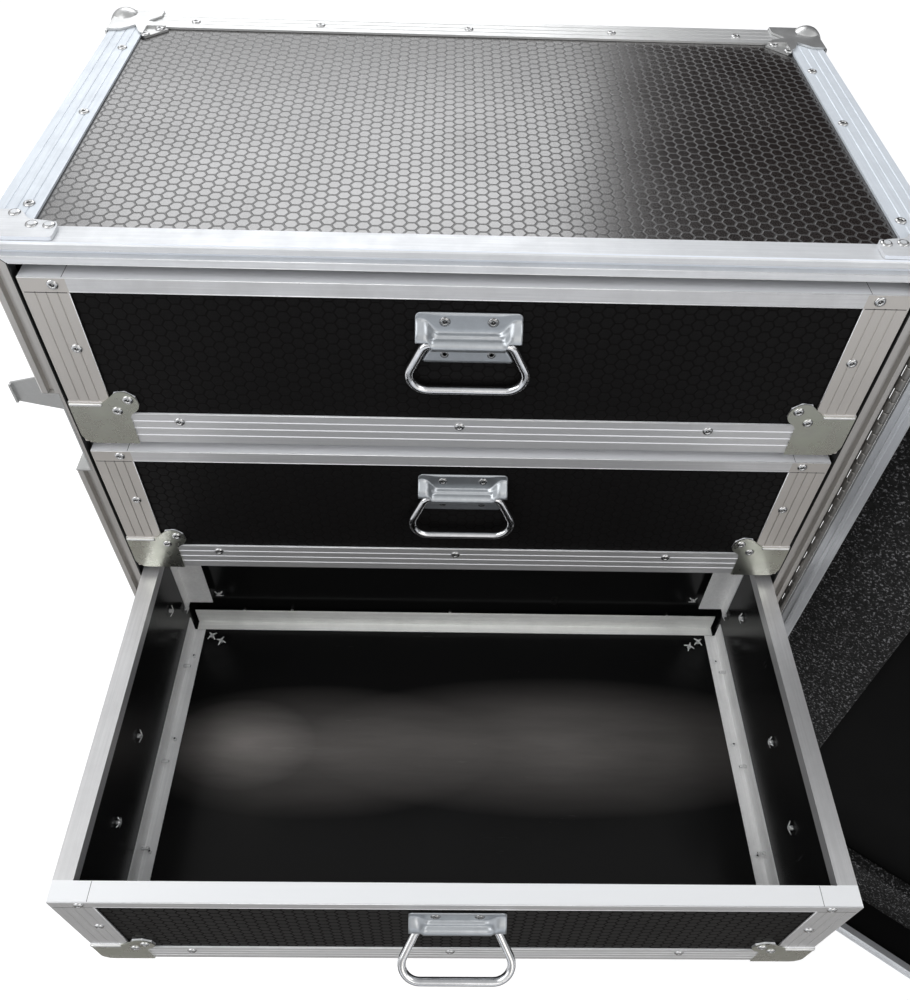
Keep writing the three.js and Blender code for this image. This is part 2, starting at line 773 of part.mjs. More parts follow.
function doorFrame() {
  const frame = ring(closingSection(true), point(0, doorMouth, midHeight), X, Z, minusY,
    caseWidth, caseHeight);
  const heights = Object.values(latchHeights);
  const notched = heights.reduce(
    (body, z) => body.subtract(dishCut(z, doorMouth, -1, keeperDepth, -fuseOverlap)), frame);
  return joined([notched, ...heights.map(latchKeeper)]);
}

function doorEdging() {
  const section = edgeSection();
  const stop = cornerStop;
  const runs = [
    [point(-halfWidth + stop, doorOuter, topOuter), minusZ, Y, caseWidth],
    [point(halfWidth - stop, doorOuter, bottomOuter), Z, Y, caseWidth],
    [point(-halfWidth, doorOuter, bottomOuter + stop), X, Y, caseHeight],
    [point(halfWidth, doorOuter, topOuter - stop), minusX, Y, caseHeight],
  ];
  const bars = runs.map(([start, inward, back, length]) => bar(section, start, inward, back,
    length - 2 * stop, squareCut));
  const corners = [[-1, topOuter, minusZ], [1, topOuter, minusZ], [-1, bottomOuter, Z], [1, bottomOuter, Z]]
    .map(([side, z, inZ]) => ballCorner(point(side * halfWidth, doorOuter, z),
      X.clone().multiplyScalar(-side), Y, inZ, -ribDepth - fuseOverlap));
  return joined([...bars, ...corners]);
}

function doorFoam() {
  const innerFace = doorOuter + lining + seatGap;
  const faces = [innerFace, doorMouth - foamSetback];
  const reachX = halfWidth - lining - seatGap;
  const reachZ = caseHeight * half - lining - seatGap;
  const hole = block(span(0, reachX - foamSideWidth),
    [innerFace - cutOverrun, doorMouth - foamSetback + cutOverrun], span(midHeight, reachZ - foamEndWidth));
  return block(span(0, reachX), faces, span(midHeight, reachZ)).subtract(hole);
}

function door() {
  const sideOuter = halfWidth - skin;
  const panel = block(span(0, sideOuter), [doorOuter + skin, doorOuter + lining], [0, topOuter - skin]);
  const pieces = [
    meshOf('door_panel', panel, hexPly),
    meshOf('door_walls', doorWalls(), hexPly),
    meshOf('door_foam', doorFoam(), foamRubber),
    meshOf('door_frame', doorFrame(), aluminium),
    meshOf('door_edging', doorEdging(), aluminium),
    meshOf('hinge_leaf_door', hingeLeaf(-1, false), zincSteel),
  ];
  const swing = new THREE.Matrix4().makeTranslation(hingeAxisX, hingeAxisY, 0)
    .multiply(new THREE.Matrix4().makeRotationZ(THREE.MathUtils.degToRad(doorRestAngle)))
    .multiply(new THREE.Matrix4().makeTranslation(-hingeAxisX, -hingeAxisY, 0));
  pieces.forEach((piece) => piece.geometry.applyMatrix4(swing));
  return pieces;
}

// Drawers

function drawerBox(front, top, bottom) {
  const wide = drawerWidth * half - drawerSkin;
  const near = front + drawerSkin;
  const far = front + drawerLength - drawerSkin;
  const shell = block(span(0, wide), [near, far], [bottom + drawerSkin, top - railWall - seatGap]);
  const hollow = block(span(0, wide - drawerPly), [near + drawerPly, far - drawerPly],
    [bottom + drawerSkin + drawerFloor, top + cutOverrun]);
  const reach = slideHeight * half - slideSheet - slideClearance;
  const outline = [
    [-fuseOverlap, -reach], [runnerReach, -reach], [runnerReach, slideSheet - reach],
    [slideSheet, slideSheet - reach], [slideSheet, reach - slideSheet],
    [runnerReach, reach - slideSheet], [runnerReach, reach], [-fuseOverlap, reach],
  ];
  const runners = [-1, 1].map((side) => slab(outline, slideLength, basis(
    X.clone().multiplyScalar(side), Z, Y,
    point(side * wide, front + slideSetback, (top + bottom) * half),
  )));
  return joined([shell.subtract(hollow), ...runners]);
}

// Pressed brace over the bottom corner of a drawer's front
function drawerBrace(side, front, bottom) {
  const shown = braceSheetShown;
  const inward = X.clone().multiplyScalar(-side);
  const corner = point(side * drawerWidth * half, front, bottom);
  const face = [
    ...softened([[-shown, -shown], [braceWidth, -shown], [braceWidth, braceWaist]], [braceRound, 0, 0], 3),
    ...arc(braceEar, braceHeight, braceEarRadius, -Math.PI / 3, Math.PI * 2 / 3, braceEarSteps),
    [braceShoulder, braceHeight], [-shown, braceHeight],
  ];
  const frontLeaf = slab(face, shown + drawerWall, basis(inward, Z, minusY,
    corner.clone().addScaledVector(Y, drawerWall)));
  const sideLeaf = slab(
    [[-shown, -shown + braceRound], [fuseOverlap, -shown + braceRound], [fuseOverlap, braceHeight],
      [-shown, braceHeight]],
    braceReturn + shown, basis(inward, Z, Y, corner.clone().addScaledVector(Y, -shown)));
  const bottomLeaf = slab(
    [[braceRound - shown, -shown], [braceWidth, -shown], [braceWidth, fuseOverlap],
      [braceRound - shown, fuseOverlap]],
    braceReturn + shown, basis(inward, Z, Y, corner.clone().addScaledVector(Y, -shown)));
  return [frontLeaf, sideLeaf, bottomLeaf];
}

function drawerTrim(front, top, bottom) {
  const rim = ring(
    [[0, 0], [railFace, 0], [railFace, railDepth], [railFace - railWall, railDepth],
      [railFace - railWall, railWall], [railWall, railWall], [railWall, railDepth], [0, railDepth]],
    point(0, front + drawerLength * half, top), X, Y, minusZ,
    drawerWidth, drawerLength,
  );
  const section = drawerEdgeSection();
  const high = top - railDepth + fuseOverlap;
  const reach = drawerWidth * half;
  const edging = [
    bar(section, point(-reach, front, bottom), X, Y, high - bottom, squareCut),
    bar(section, point(reach, front, high), minusX, Y, high - bottom, squareCut),
    bar(section, point(reach, front, bottom), Z, Y, drawerWidth, squareCut),
  ];
  const braces = [-1, 1].flatMap((side) => drawerBrace(side, front, bottom));
  return joined([rim, ...edging, ...braces]);
}

// Angles along the floor's left, back and right edges, and upright in the back corners
function drawerAngles(front, top, bottom) {
  const wall = drawerSkin + drawerPly + seatGap;
  const floor = bottom + drawerSkin + drawerFloor + seatGap;
  const near = front + wall;
  const far = front + drawerLength - wall;
  const side = drawerWidth * half - wall;
  const section = [
    [0, 0], [innerAngleWidth, 0], [innerAngleWidth, innerAngleWall], [innerAngleWall, innerAngleWall],
    [innerAngleWall, innerAngleHeight], [0, innerAngleHeight],
  ];
  const stations = [
    (a, b) => point(-side + a, near, floor + b),
    (a, b) => point(-side + a, far - a, floor + b),
    (a, b) => point(side - a, far - a, floor + b),
    (a, b) => point(side - a, near, floor + b),
  ];
  const uprights = [-1, 1].map((way) => slab([
    [0, 0], [backAngleWidth, 0], [backAngleWidth, -innerAngleWall], [innerAngleWall, -innerAngleWall],
    [innerAngleWall, -backAngleReturn], [0, -backAngleReturn],
  ], top - railDepth - backAngleDrop - floor - innerAngleHeight + fuseOverlap, basis(
    X.clone().multiplyScalar(-way), Y, Z,
    point(way * side, far, floor + innerAngleHeight - fuseOverlap),
  )));
  return joined([swept(section, stations, false), ...uprights]);
}

function handlePlate(front, top) {
  const face = front + drawerWall;
  const high = handleTop;
  const low = handleTop + handleHeight;
  const axis = handleTop + handleAxisDrop;
  const upper = handleWidth * half;
  const waist = handleWaistWidth * half;
  const lower = handleLowerWidth * half;
  const outline = softened([
    [-upper, -high], [-upper, -axis], [-waist, -axis], [-waist, -axis - bailWire],
    [-lower, -low], [lower, -low], [waist, -axis - bailWire], [waist, -axis], [upper, -axis], [upper, -high],
  ], [handleRound, 0, 0, 0, handleRound, handleRound, 0, 0, 0, handleRound], 2);
  const plate = slab(outline, handleSheet, basis(X, Z, minusY, point(0, face, top)));
  const bore = bailWire * half + barrelClearance;
  const shell = bore + handleSheet;
  const centre = face - handleSheet - bore;
  const foot = face - handleSheet + fuseOverlap;
  const tunnel = (radius, back) => [
    [back, radius], ...arc(centre, 0, radius, Math.PI * half, Math.PI * 3 * half, barrelSteps), [back, -radius],
  ];
  const along = (outlinePoints, reach) => slab(outlinePoints, 2 * reach, basis(Y, Z, X,
    point(-reach, 0, top - axis)));
  const barrel = along(tunnel(shell, foot), barrelLength * half)
    .subtract(along(tunnel(bore, face - handleSheet), barrelLength * half + cutOverrun));
  return plate.add(barrel);
}

function bail(front, top, tilt) {
  const pivot = point(0, front + drawerWall - handleSheet - bailWire * half - barrelClearance,
    top - handleTop - handleAxisDrop);
  const path = softened([
    [-bailTopWidth * half, 0], [bailTopWidth * half, 0],
    [bailBottomWidth * half, -bailDrop], [-bailBottomWidth * half, -bailDrop],
  ], [bailTopRound, bailTopRound, bailBottomRound, bailBottomRound], bailBendSteps)
    .map(([a, b]) => new THREE.Vector2(a, b));
  const turn = THREE.MathUtils.degToRad(tilt);
  const section = arc(0, 0, bailWire * half, 0, Math.PI * 2, bailSides).slice(0, bailSides);
  const stations = path.map((here, i) => {
    const before = path[(i + path.length - 1) % path.length];
    const after = path[(i + 1) % path.length];
    const along = after.clone().sub(before).normalize();
    return (a, b) => point(here.x + a * along.y, b, here.y - a * along.x)
      .applyAxisAngle(minusX, turn).add(pivot);
  });
  return swept(section, stations, true);
}

function drawer(i) {
  const number = i + 1;
  const front = mouth - (number === pulledDrawerIndex ? drawerPull : 0);
  const top = drawerTops[i];
  const bottom = top - drawerHeights[i];
  const name = (piece) => `drawer_${number}_${piece}`;
  return [
    meshOf(name('box'), drawerBox(front, top, bottom), hexPly),
    meshOf(name('trim'), drawerTrim(front, top, bottom), aluminium),
    meshOf(name('angles'), drawerAngles(front, top, bottom), aluminium),
    meshOf(name('handle_plate'), handlePlate(front, top), zincSteel),
    meshOf(name('bail'), bail(front, top, bailTilts[i]), polishedSteel),
  ];
}

const model = new THREE.Group();
model.name = 'road_case_with_drawers';
model.add(
  ...cabinetBoards(),
  ...cabinetEdges(),
  ...cabinetFrame(),
  ...cabinetCorners(),
  ...cabinetLatches(),
  meshOf('hinge_leaf_cabinet', hingeLeaf(1, true), zincSteel),
  meshOf('hinge_pin', hingePin(), zincSteel),
  ...door(),
  ...drawerTops.flatMap((top, i) => drawer(i)),
);

export default model;
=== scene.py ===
import math

import bmesh
import bpy
from mathutils import Matrix, Vector


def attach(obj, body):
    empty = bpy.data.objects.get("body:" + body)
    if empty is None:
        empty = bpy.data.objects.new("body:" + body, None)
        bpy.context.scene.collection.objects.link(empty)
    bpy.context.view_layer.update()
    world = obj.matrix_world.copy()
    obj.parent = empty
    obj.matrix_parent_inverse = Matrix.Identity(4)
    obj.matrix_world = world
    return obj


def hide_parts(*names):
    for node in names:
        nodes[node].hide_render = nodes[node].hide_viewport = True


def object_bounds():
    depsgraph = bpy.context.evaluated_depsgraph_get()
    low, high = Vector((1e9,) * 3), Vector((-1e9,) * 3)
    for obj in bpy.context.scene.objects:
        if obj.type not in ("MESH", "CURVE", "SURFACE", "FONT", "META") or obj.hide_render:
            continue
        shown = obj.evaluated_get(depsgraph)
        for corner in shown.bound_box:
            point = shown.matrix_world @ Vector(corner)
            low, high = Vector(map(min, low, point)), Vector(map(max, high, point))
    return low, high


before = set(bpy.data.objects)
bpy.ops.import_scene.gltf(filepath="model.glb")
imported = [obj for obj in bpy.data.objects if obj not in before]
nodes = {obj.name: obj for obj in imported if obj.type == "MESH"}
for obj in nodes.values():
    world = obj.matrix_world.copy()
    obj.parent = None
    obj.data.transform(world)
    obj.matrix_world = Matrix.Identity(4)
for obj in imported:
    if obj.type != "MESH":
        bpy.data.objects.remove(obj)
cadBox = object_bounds()
mm = 0.001


# Camera, floor and light

cameraSetup = {
    "place": (-0.0163, -0.7557, 1.4655),
    "right": (0.9997, -0.0015, 0.0263),
    "up": (-0.0161, 0.7550, 0.6556),
    "back": (-0.0208, -0.6558, 0.7547),
    "lens": 31.56,
    "shift": (-0.0089, -0.0106),
}

studio = {
    "floorReach": 9.0,
    "floorTone": 0.86,
    "dimTone": 0.42,  # of the floor as the camera and mirrors see it, under its glow
    "floorGlow": (0.82, 0.58),
    "worldTone": (0.93, 0.95, 1.0),
    "worldStrength": 0.62,
    # from and to which height the mirrored sky fades, and to what
    "lowSky": (0.30, 0.52, 0.42),
    "zenith": (0.55, 0.93, 0.50),
}

# name, place, aim, size, power, height if square-cornered, colour
lamps = (
    ("overheadLamp", (-1.6, -1.0, 3.0), (0, 0, 0.7), 2.0, 23, None, (1, 1, 1)),
    ("leftLamp", (-2.4, -1.6, 1.7), (0, -0.2, 0.7), 1.6, 11, None, (1, 1, 1)),
    ("frontLamp", (0.9, -2.9, 1.5), (0, 0, 0.6), 1.8, 10, None, (1, 0.95, 0.89)),
    ("rightLamp", (1.7, -1.3, 2.7), (-0.25, -0.35, 0.5), 1.4, 9, None, (1, 1, 1)),
    ("backLamp", (-0.455, 2.1, 2.60), (-0.455, -0.2, 1.1), 1.9, 20, 1.1, (0.97, 0.98, 1.0)),
)

darkCard = {
    "place": (2.02, 2.2, 2.4),
    "size": (3.0, 3.2),
    "tone": (0.010, 0.006, 0.005),
}

# what the front faces mirror: a glowing card, seen only in reflections, for the ground before the case, dim close
# by as painted shade and pale farther off
mirroredGroundGlow = {
    "near": -0.62,
    "far": -2.6,
    "reach": 1.7,
    "lift": 0.002,
    # glowing tones, darkest close to the case as painted shade
    "steps": (
        (-0.70, -1.10, (0.17, 0.16, 0.148), (0.24, 0.228, 0.214)),
        (-1.10, -1.50, None, (0.31, 0.325, 0.345)),
        (-1.52, -1.78, None, (0.88, 0.91, 0.96)),
    ),
}


def meshFrom(bm, name):
    mesh = bpy.data.meshes.new(name)
    bm.to_mesh(mesh)
    bm.free()
    return mesh


def addObject(name, data):
    one = bpy.data.objects.new(name, data)
    bpy.context.scene.collection.objects.link(one)
    return one


def addCamera():
    camera = addObject("caseCamera", bpy.data.cameras.new("caseCamera"))
    turn = Matrix((cameraSetup["right"], cameraSetup["up"], cameraSetup["back"])).transposed()
    turn = turn.to_quaternion().to_matrix()
    camera.matrix_world = Matrix.Translation(cameraSetup["place"]) @ turn.to_4x4()
    camera.data.sensor_width = 36
    camera.data.lens = cameraSetup["lens"]
    camera.data.shift_x, camera.data.shift_y = cameraSetup["shift"]
    camera.data.clip_start = 0.02
    bpy.context.scene.camera = camera


def addLamp(name, place, aim, size, power, height, colour):
    lamp = addObject(name, bpy.data.lights.new(name, "AREA"))
    lamp.data.shape = "RECTANGLE" if height else "DISK"
    lamp.data.size = size
    if height:
        lamp.data.size_y = height
    lamp.data.energy = power
    lamp.data.color = colour
    lamp.location = place
    lamp.rotation_euler = (Vector(aim) - Vector(place)).to_track_quat("-Z", "Y").to_euler()


def bareTree(owner):
    owner.use_nodes = True
    owner.node_tree.nodes.clear()
    return owner.node_tree


def feed(tree, node, values):
    for socket, value in values.items():
        if isinstance(value, bpy.types.NodeSocket):
            tree.links.new(value, node.inputs[socket])
        else:
            node.inputs[socket].default_value = value
    return node


def put(tree, kind, values=None, **settings):
    node = tree.nodes.new("ShaderNode" + kind)
    for setting, value in settings.items():
        setattr(node, setting, value)
    return feed(tree, node, values or {})


def calc(tree, operation, first, second=0.5, third=0.0):
    return put(tree, "Math", {0: first, 1: second, 2: third}, operation=operation).outputs[0]


def vectorCalc(tree, operation, first, second=(0, 0, 0), third=(0, 0, 0)):
    node = put(tree, "VectorMath", {0: first, 1: second, 2: third}, operation=operation)
    return node.outputs["Value" if operation in ("DOT_PRODUCT", "LENGTH") else "Vector"]


def ramp(tree, factor, low, high, start=0.0, end=1.0):
    return put(tree, "MapRange", {0: factor, 1: low, 2: high, 3: start, 4: end}, clamp=True).outputs[0]


def within(tree, value, low, high):
    above, below = calc(tree, "GREATER_THAN", value, low), calc(tree, "LESS_THAN", value, high)
    return calc(tree, "MULTIPLY", above, below)


def mixColours(tree, factor, *colours):
    first, second = ((*one, 1) if isinstance(one, tuple) else one for one in colours)
    return put(tree, "Mix", {0: factor, 6: first, 7: second}, data_type="RGBA").outputs[2]


def grain(tree, where, size, detail=3.0, roughness=0.5):
    return put(tree, "TexNoise", {"Vector": where, "Scale": 1 / size, "Detail": detail,
                                  "Roughness": roughness}).outputs["Fac"]


def stretchedGrain(tree, where, scale, detail, roughness):
    stretched = put(tree, "Mapping", {"Vector": where, "Scale": scale}).outputs[0]
    return grain(tree, stretched, 1.0, detail, roughness)


def texturePlace(tree, turn):
    # where a point is, and which way its face looks, once the turn about Z is undone
    texture = put(tree, "TexCoord")
    return (put(tree, "Mapping", {"Vector": texture.outputs[which], "Rotation": (0, 0, -turn)}).outputs[0]
            for which in ("Object", "Normal"))


def newFinish(name):
    finish = bpy.data.materials.new(name)
    tree = bareTree(finish)
    shader = put(tree, "BsdfPrincipled")
    put(tree, "OutputMaterial", {"Surface": shader.outputs["BSDF"]})
    return finish, tree, shader


def seenAsBackground(tree):
    path = put(tree, "LightPath")
    seen = calc(tree, "MAXIMUM", path.outputs["Is Camera Ray"], path.outputs["Is Glossy Ray"])
    return calc(tree, "MAXIMUM", seen, path.outputs["Is Transmission Ray"])


def addCard(name, place, size):
    # a card that only reflections show
    bm = bmesh.new()
    bmesh.ops.create_grid(bm, x_segments=1, y_segments=1, size=0.5)
    bmesh.ops.transform(bm, verts=bm.verts, matrix=place @ Matrix.Diagonal((*size, 1, 1)))
    card = addObject(name, meshFrom(bm, name))
    card.visible_camera = card.visible_diffuse = card.visible_shadow = False
    return card


def addFloor():
    bpy.ops.mesh.primitive_plane_add(size=2 * studio["floorReach"], location=(0, 0, cadBox[0][2]))
    floor = bpy.context.object
    floor.name = "studioFloor"
    finish = bpy.data.materials.new("paleFloor")
    tree = bareTree(finish)
    seen, mirrored = studio["floorGlow"]
    straight = put(tree, "LightPath").outputs["Is Camera Ray"]
    glowLevel = calc(tree, "MULTIPLY_ADD", straight, seen - mirrored, mirrored)
    paint = put(tree, "BsdfDiffuse", {"Color": (studio["floorTone"],) * 3 + (1,)})
    dimPaint = put(tree, "BsdfDiffuse", {"Color": (studio["dimTone"],) * 3 + (1,)})
    glow = put(tree, "Emission", {"Color": (1, 1, 1, 1), "Strength": glowLevel})
    blend = put(tree, "AddShader", {0: dimPaint.outputs[0], 1: glow.outputs[0]})
    pick = put(tree, "MixShader", {0: seenAsBackground(tree), 1: paint.outputs[0], 2: blend.outputs[0]})
    put(tree, "OutputMaterial", {"Surface": pick.outputs[0]})
    floor.data.materials.append(finish)


def addSky():
    world = bpy.data.worlds.new("paleStudio")
    bpy.context.scene.world = world
    tree = bareTree(world)
    fill = put(tree, "Background", {"Color": (*studio["worldTone"], 1), "Strength": studio["worldStrength"]})
    height = put(tree, "SeparateXYZ", {0: put(tree, "TexCoord").outputs["Generated"]}).outputs[2]
    (low, lowEnd, lowTone), (high, highEnd, highTone) = studio["lowSky"], studio["zenith"]
    sky = ramp(tree, height, high, highEnd, 1.0, highTone)
    sky = calc(tree, "MULTIPLY", sky, ramp(tree, height, low, lowEnd, lowTone, 1.0))
    seen = calc(tree, "MAXIMUM", sky, put(tree, "LightPath").outputs["Is Camera Ray"])
    white = put(tree, "Background", {"Color": (1, 1, 1, 1), "Strength": seen})
    pick = put(tree, "MixShader", {0: seenAsBackground(tree), 1: fill.outputs[0], 2: white.outputs[0]})
    put(tree, "OutputWorld", {"Surface": pick.outputs[0]})


def addCards():
    # a dark one beside the back lamp, and a glowing one for the ground in front, dim close to the case as painted
    # shade
    place = Matrix.Translation(darkCard["place"]) @ Matrix.Rotation(math.pi / 2, 4, "X")
    card = addCard("darkCard", place, darkCard["size"])
    finish, tree, shader = newFinish("darkCard")
    feed(tree, shader, {"Base Color": (*darkCard["tone"], 1), "Roughness": 1.0})
    card.data.materials.append(finish)

    near, far = mirroredGroundGlow["near"], mirroredGroundGlow["far"]
    middle = (0, (near + far) / 2, cadBox[0][2] + mirroredGroundGlow["lift"])
    card = addCard("mirroredGroundGlow", Matrix.Translation(middle), (2 * mirroredGroundGlow["reach"], near - far))
    finish = bpy.data.materials.new("mirroredGroundGlow")
    tree = bareTree(finish)
    back = put(tree, "SeparateXYZ", {0: put(tree, "TexCoord").outputs["Object"]}).outputs[1]
    tone = None
    for start, end, first, second in mirroredGroundGlow["steps"]:
        tone = mixColours(tree, ramp(tree, back, end, start, 1.0, 0.0), tone or first, second)
    glow = put(tree, "Emission", {"Color": tone, "Strength": 1.0})
    put(tree, "OutputMaterial", {"Surface": glow.outputs[0]})
    card.data.materials.append(finish)


bpy.context.scene.view_settings.view_transform = "Standard"
addCamera()
addFloor()
addSky()
for lamp in lamps:
    addLamp(*lamp)
addCards()
print("camera, floor and light are in")


# Finishes

filmFinish = {
    "cellSide": 6.03 * mm,
    "lineWidth": 0.95 * mm,
    "cellColour": (0.020, 0.0165, 0.0155),
    "lineColour": (0.004, 0.0036, 0.0035),
    "smoothColour": (0.006, 0.006, 0.006),
    "cellLift": 0.25 * mm,
    "railColour": (0.52, 0.53, 0.53),
    # the warm tone and the patches of the painted sheen on the open drawer's floor: middle, spread and strength
    # of each
    "sheenColour": (0.27, 0.25, 0.235),
    "hazePatches": (
        ((-0.242, -0.324, 0.5275), (0.085, 0.055, 1.0), 0.85),
        ((-0.16, -0.330, 0.5275), (0.21, 0.080, 1.0), 0.52),
        ((0.12, -0.322, 0.5275), (0.30, 0.085, 1.0), 0.62),
    ),
}


def insideCell(tree, flat):
    # distance in from the nearest line of a honeycomb whose cells point along X
    side = filmFinish["cellSide"]
    tall = math.sqrt(3) * side
    cell = Vector((3 * side, tall, 1))
    away = []
    for shift in ((0, 0, 0), (1.5 * side, tall / 2, 0)):
        moved = vectorCalc(tree, "ADD", flat, shift)
        near = vectorCalc(tree, "ABSOLUTE", vectorCalc(tree, "WRAP", moved, cell / 2, -cell / 2))
        slant = vectorCalc(tree, "DOT_PRODUCT", near, (math.sqrt(3) / 2, 0.5, 0))
        level = vectorCalc(tree, "DOT_PRODUCT", near, (0, 1, 0))
        away.append(calc(tree, "MAXIMUM", slant, level))
    return calc(tree, "SUBTRACT", tall / 2, calc(tree, "MINIMUM", *away))


def boardFinish(name, gloss, turn=0.0, centre=(0, 0, 0.5477), upWeight=1.0, rails=None, cellRoughness=0.34,
                smoothRoughness=0.25, tint=None, haze=False, lineRough=0.42, ior=1.5):
    # film on the outer faces, smooth inside; the film follows whichever way a face looks
    finish, tree, shader = newFinish(name)
    place, facing = texturePlace(tree, turn)
    at = put(tree, "SeparateXYZ", {0: place})
    look = put(tree, "SeparateXYZ", {0: facing})
    sideways = calc(tree, "GREATER_THAN", calc(tree, "ABSOLUTE", look.outputs[0]), 0.5)
    upwards = calc(tree, "GREATER_THAN", calc(tree, "ABSOLUTE", look.outputs[2]), 0.5)
    acrossStep = calc(tree, "SUBTRACT", at.outputs[1], at.outputs[0])
    upStep = calc(tree, "SUBTRACT", at.outputs[1], at.outputs[2])
    flat = put(tree, "CombineXYZ", {
        0: calc(tree, "MULTIPLY_ADD", sideways, acrossStep, at.outputs[0]),
        1: calc(tree, "MULTIPLY_ADD", upwards, upStep, at.outputs[2]),
    }).outputs[0]
    out = vectorCalc(tree, "MULTIPLY", vectorCalc(tree, "SUBTRACT", place, centre), (1, 1, upWeight))
    outward = calc(tree, "GREATER_THAN", vectorCalc(tree, "DOT_PRODUCT", out, facing), 0.004)

    depth = insideCell(tree, flat)
    cell = ramp(tree, depth, filmFinish["lineWidth"] * 0.45, filmFinish["lineWidth"])
    filmCell = calc(tree, "MULTIPLY", cell, outward)
    fleck = grain(tree, place, 0.9 * mm, 2.0)
    smear = grain(tree, place, 90 * mm, 4.0, 0.6)
    weave = grain(tree, place, 0.35 * mm, 1.0)
    scuff = stretchedGrain(tree, place, (14, 120, 14), 5.0, 0.7)
    tint = tint or filmFinish["cellColour"]
    cellTone = mixColours(tree, ramp(tree, fleck, 0.35, 0.7), tint, tuple(c * 1.7 for c in tint))
    film = mixColours(tree, cell, filmFinish["lineColour"], cellTone)
    plain = filmFinish["smoothColour"]
    if haze:
        # painted sheen: pale warm patches with streaks on the floor of the drawer that stands open, standing in
        # for soft glare
        sheen = None
        for middle, spread, amount in filmFinish["hazePatches"]:
            off = vectorCalc(tree, "DIVIDE", vectorCalc(tree, "SUBTRACT", place, middle), spread)
            patch = ramp(tree, vectorCalc(tree, "LENGTH", off), 0.0, 1.0, amount, 0.0)
            sheen = patch if sheen is None else calc(tree, "ADD", sheen, patch)
        streak = stretchedGrain(tree, place, (5, 34, 5), 5.0, 0.6)
        sheen = calc(tree, "MULTIPLY", sheen, ramp(tree, streak, 0.30, 0.70, 0.66, 0.96))
        sheen = calc(tree, "MULTIPLY", sheen, upwards)
        plain = mixColours(tree, sheen, plain, filmFinish["sheenColour"])
    colour = mixColours(tree, outward, plain, film)
    filmRough = calc(tree, "MULTIPLY_ADD", smear, 0.16, cellRoughness - 0.08)
    filmRough = calc(tree, "ADD", filmRough, ramp(tree, cell, 0.0, 1.0, lineRough, 0.0))
    filmRough = calc(tree, "ADD", filmRough, ramp(tree, fleck, 0.3, 0.7, -0.03, 0.05))
    smoothRough = calc(tree, "MULTIPLY_ADD", smear, 0.22, smoothRoughness - 0.11)
    smoothRough = calc(tree, "ADD", smoothRough, ramp(tree, scuff, 0.62, 0.75, 0.0, 0.12))
    rough = calc(tree, "MULTIPLY_ADD", calc(tree, "SUBTRACT", filmRough, smoothRough), outward, smoothRough)
    bumpHeight = calc(tree, "MULTIPLY_ADD", weave, 0.05, filmCell)
    bump = put(tree, "Bump", {"Height": bumpHeight, "Distance": filmFinish["cellLift"], "Strength": 0.8})
    if rails:
        # the steel slide that the board's side carries
        reach = calc(tree, "ABSOLUTE", at.outputs[0])
        steel = within(tree, reach, *rails)
        colour = mixColours(tree, steel, colour, filmFinish["railColour"])
        rough = calc(tree, "MULTIPLY_ADD", calc(tree, "SUBTRACT", 0.32, rough), steel, rough)
        tree.links.new(steel, shader.inputs["Metallic"])
    feed(tree, shader, {"Base Color": colour, "Roughness": rough, "Normal": bump.outputs[0],
                        "Specular IOR Level": gloss, "IOR": ior})
    return finish


metalFinish = {
    "extrusion": (0.80, 0.82, 0.85),
    "levelBar": (0.76, 0.765, 0.76),
    "mouthBar": (0.80, 0.815, 0.83),
    "depthBar": (0.80, 0.85, 0.90),
    "uprightBar": (0.62, 0.60, 0.575),
    "drawerFront": (0.78, 0.78, 0.785),
    "drawerUpright": (0.62, 0.59, 0.555),
    "zinc": (0.66, 0.665, 0.66),
    "brace": (0.73, 0.735, 0.66),
    "hinge": (0.31, 0.30, 0.285),
    "bright": (0.80, 0.81, 0.83),
    "plate": (0.54, 0.57, 0.60),
    "rivet": (0.64, 0.645, 0.65),
    "rivetEnd": (0.93, 0.935, 0.93),
    # the edge rods' near-white, a painted highlight
    "bead": (0.96, 0.965, 0.97),
    "innerAngle": (0.98, 0.98, 0.97),
    "backAngle": (0.98, 0.985, 0.95),
}


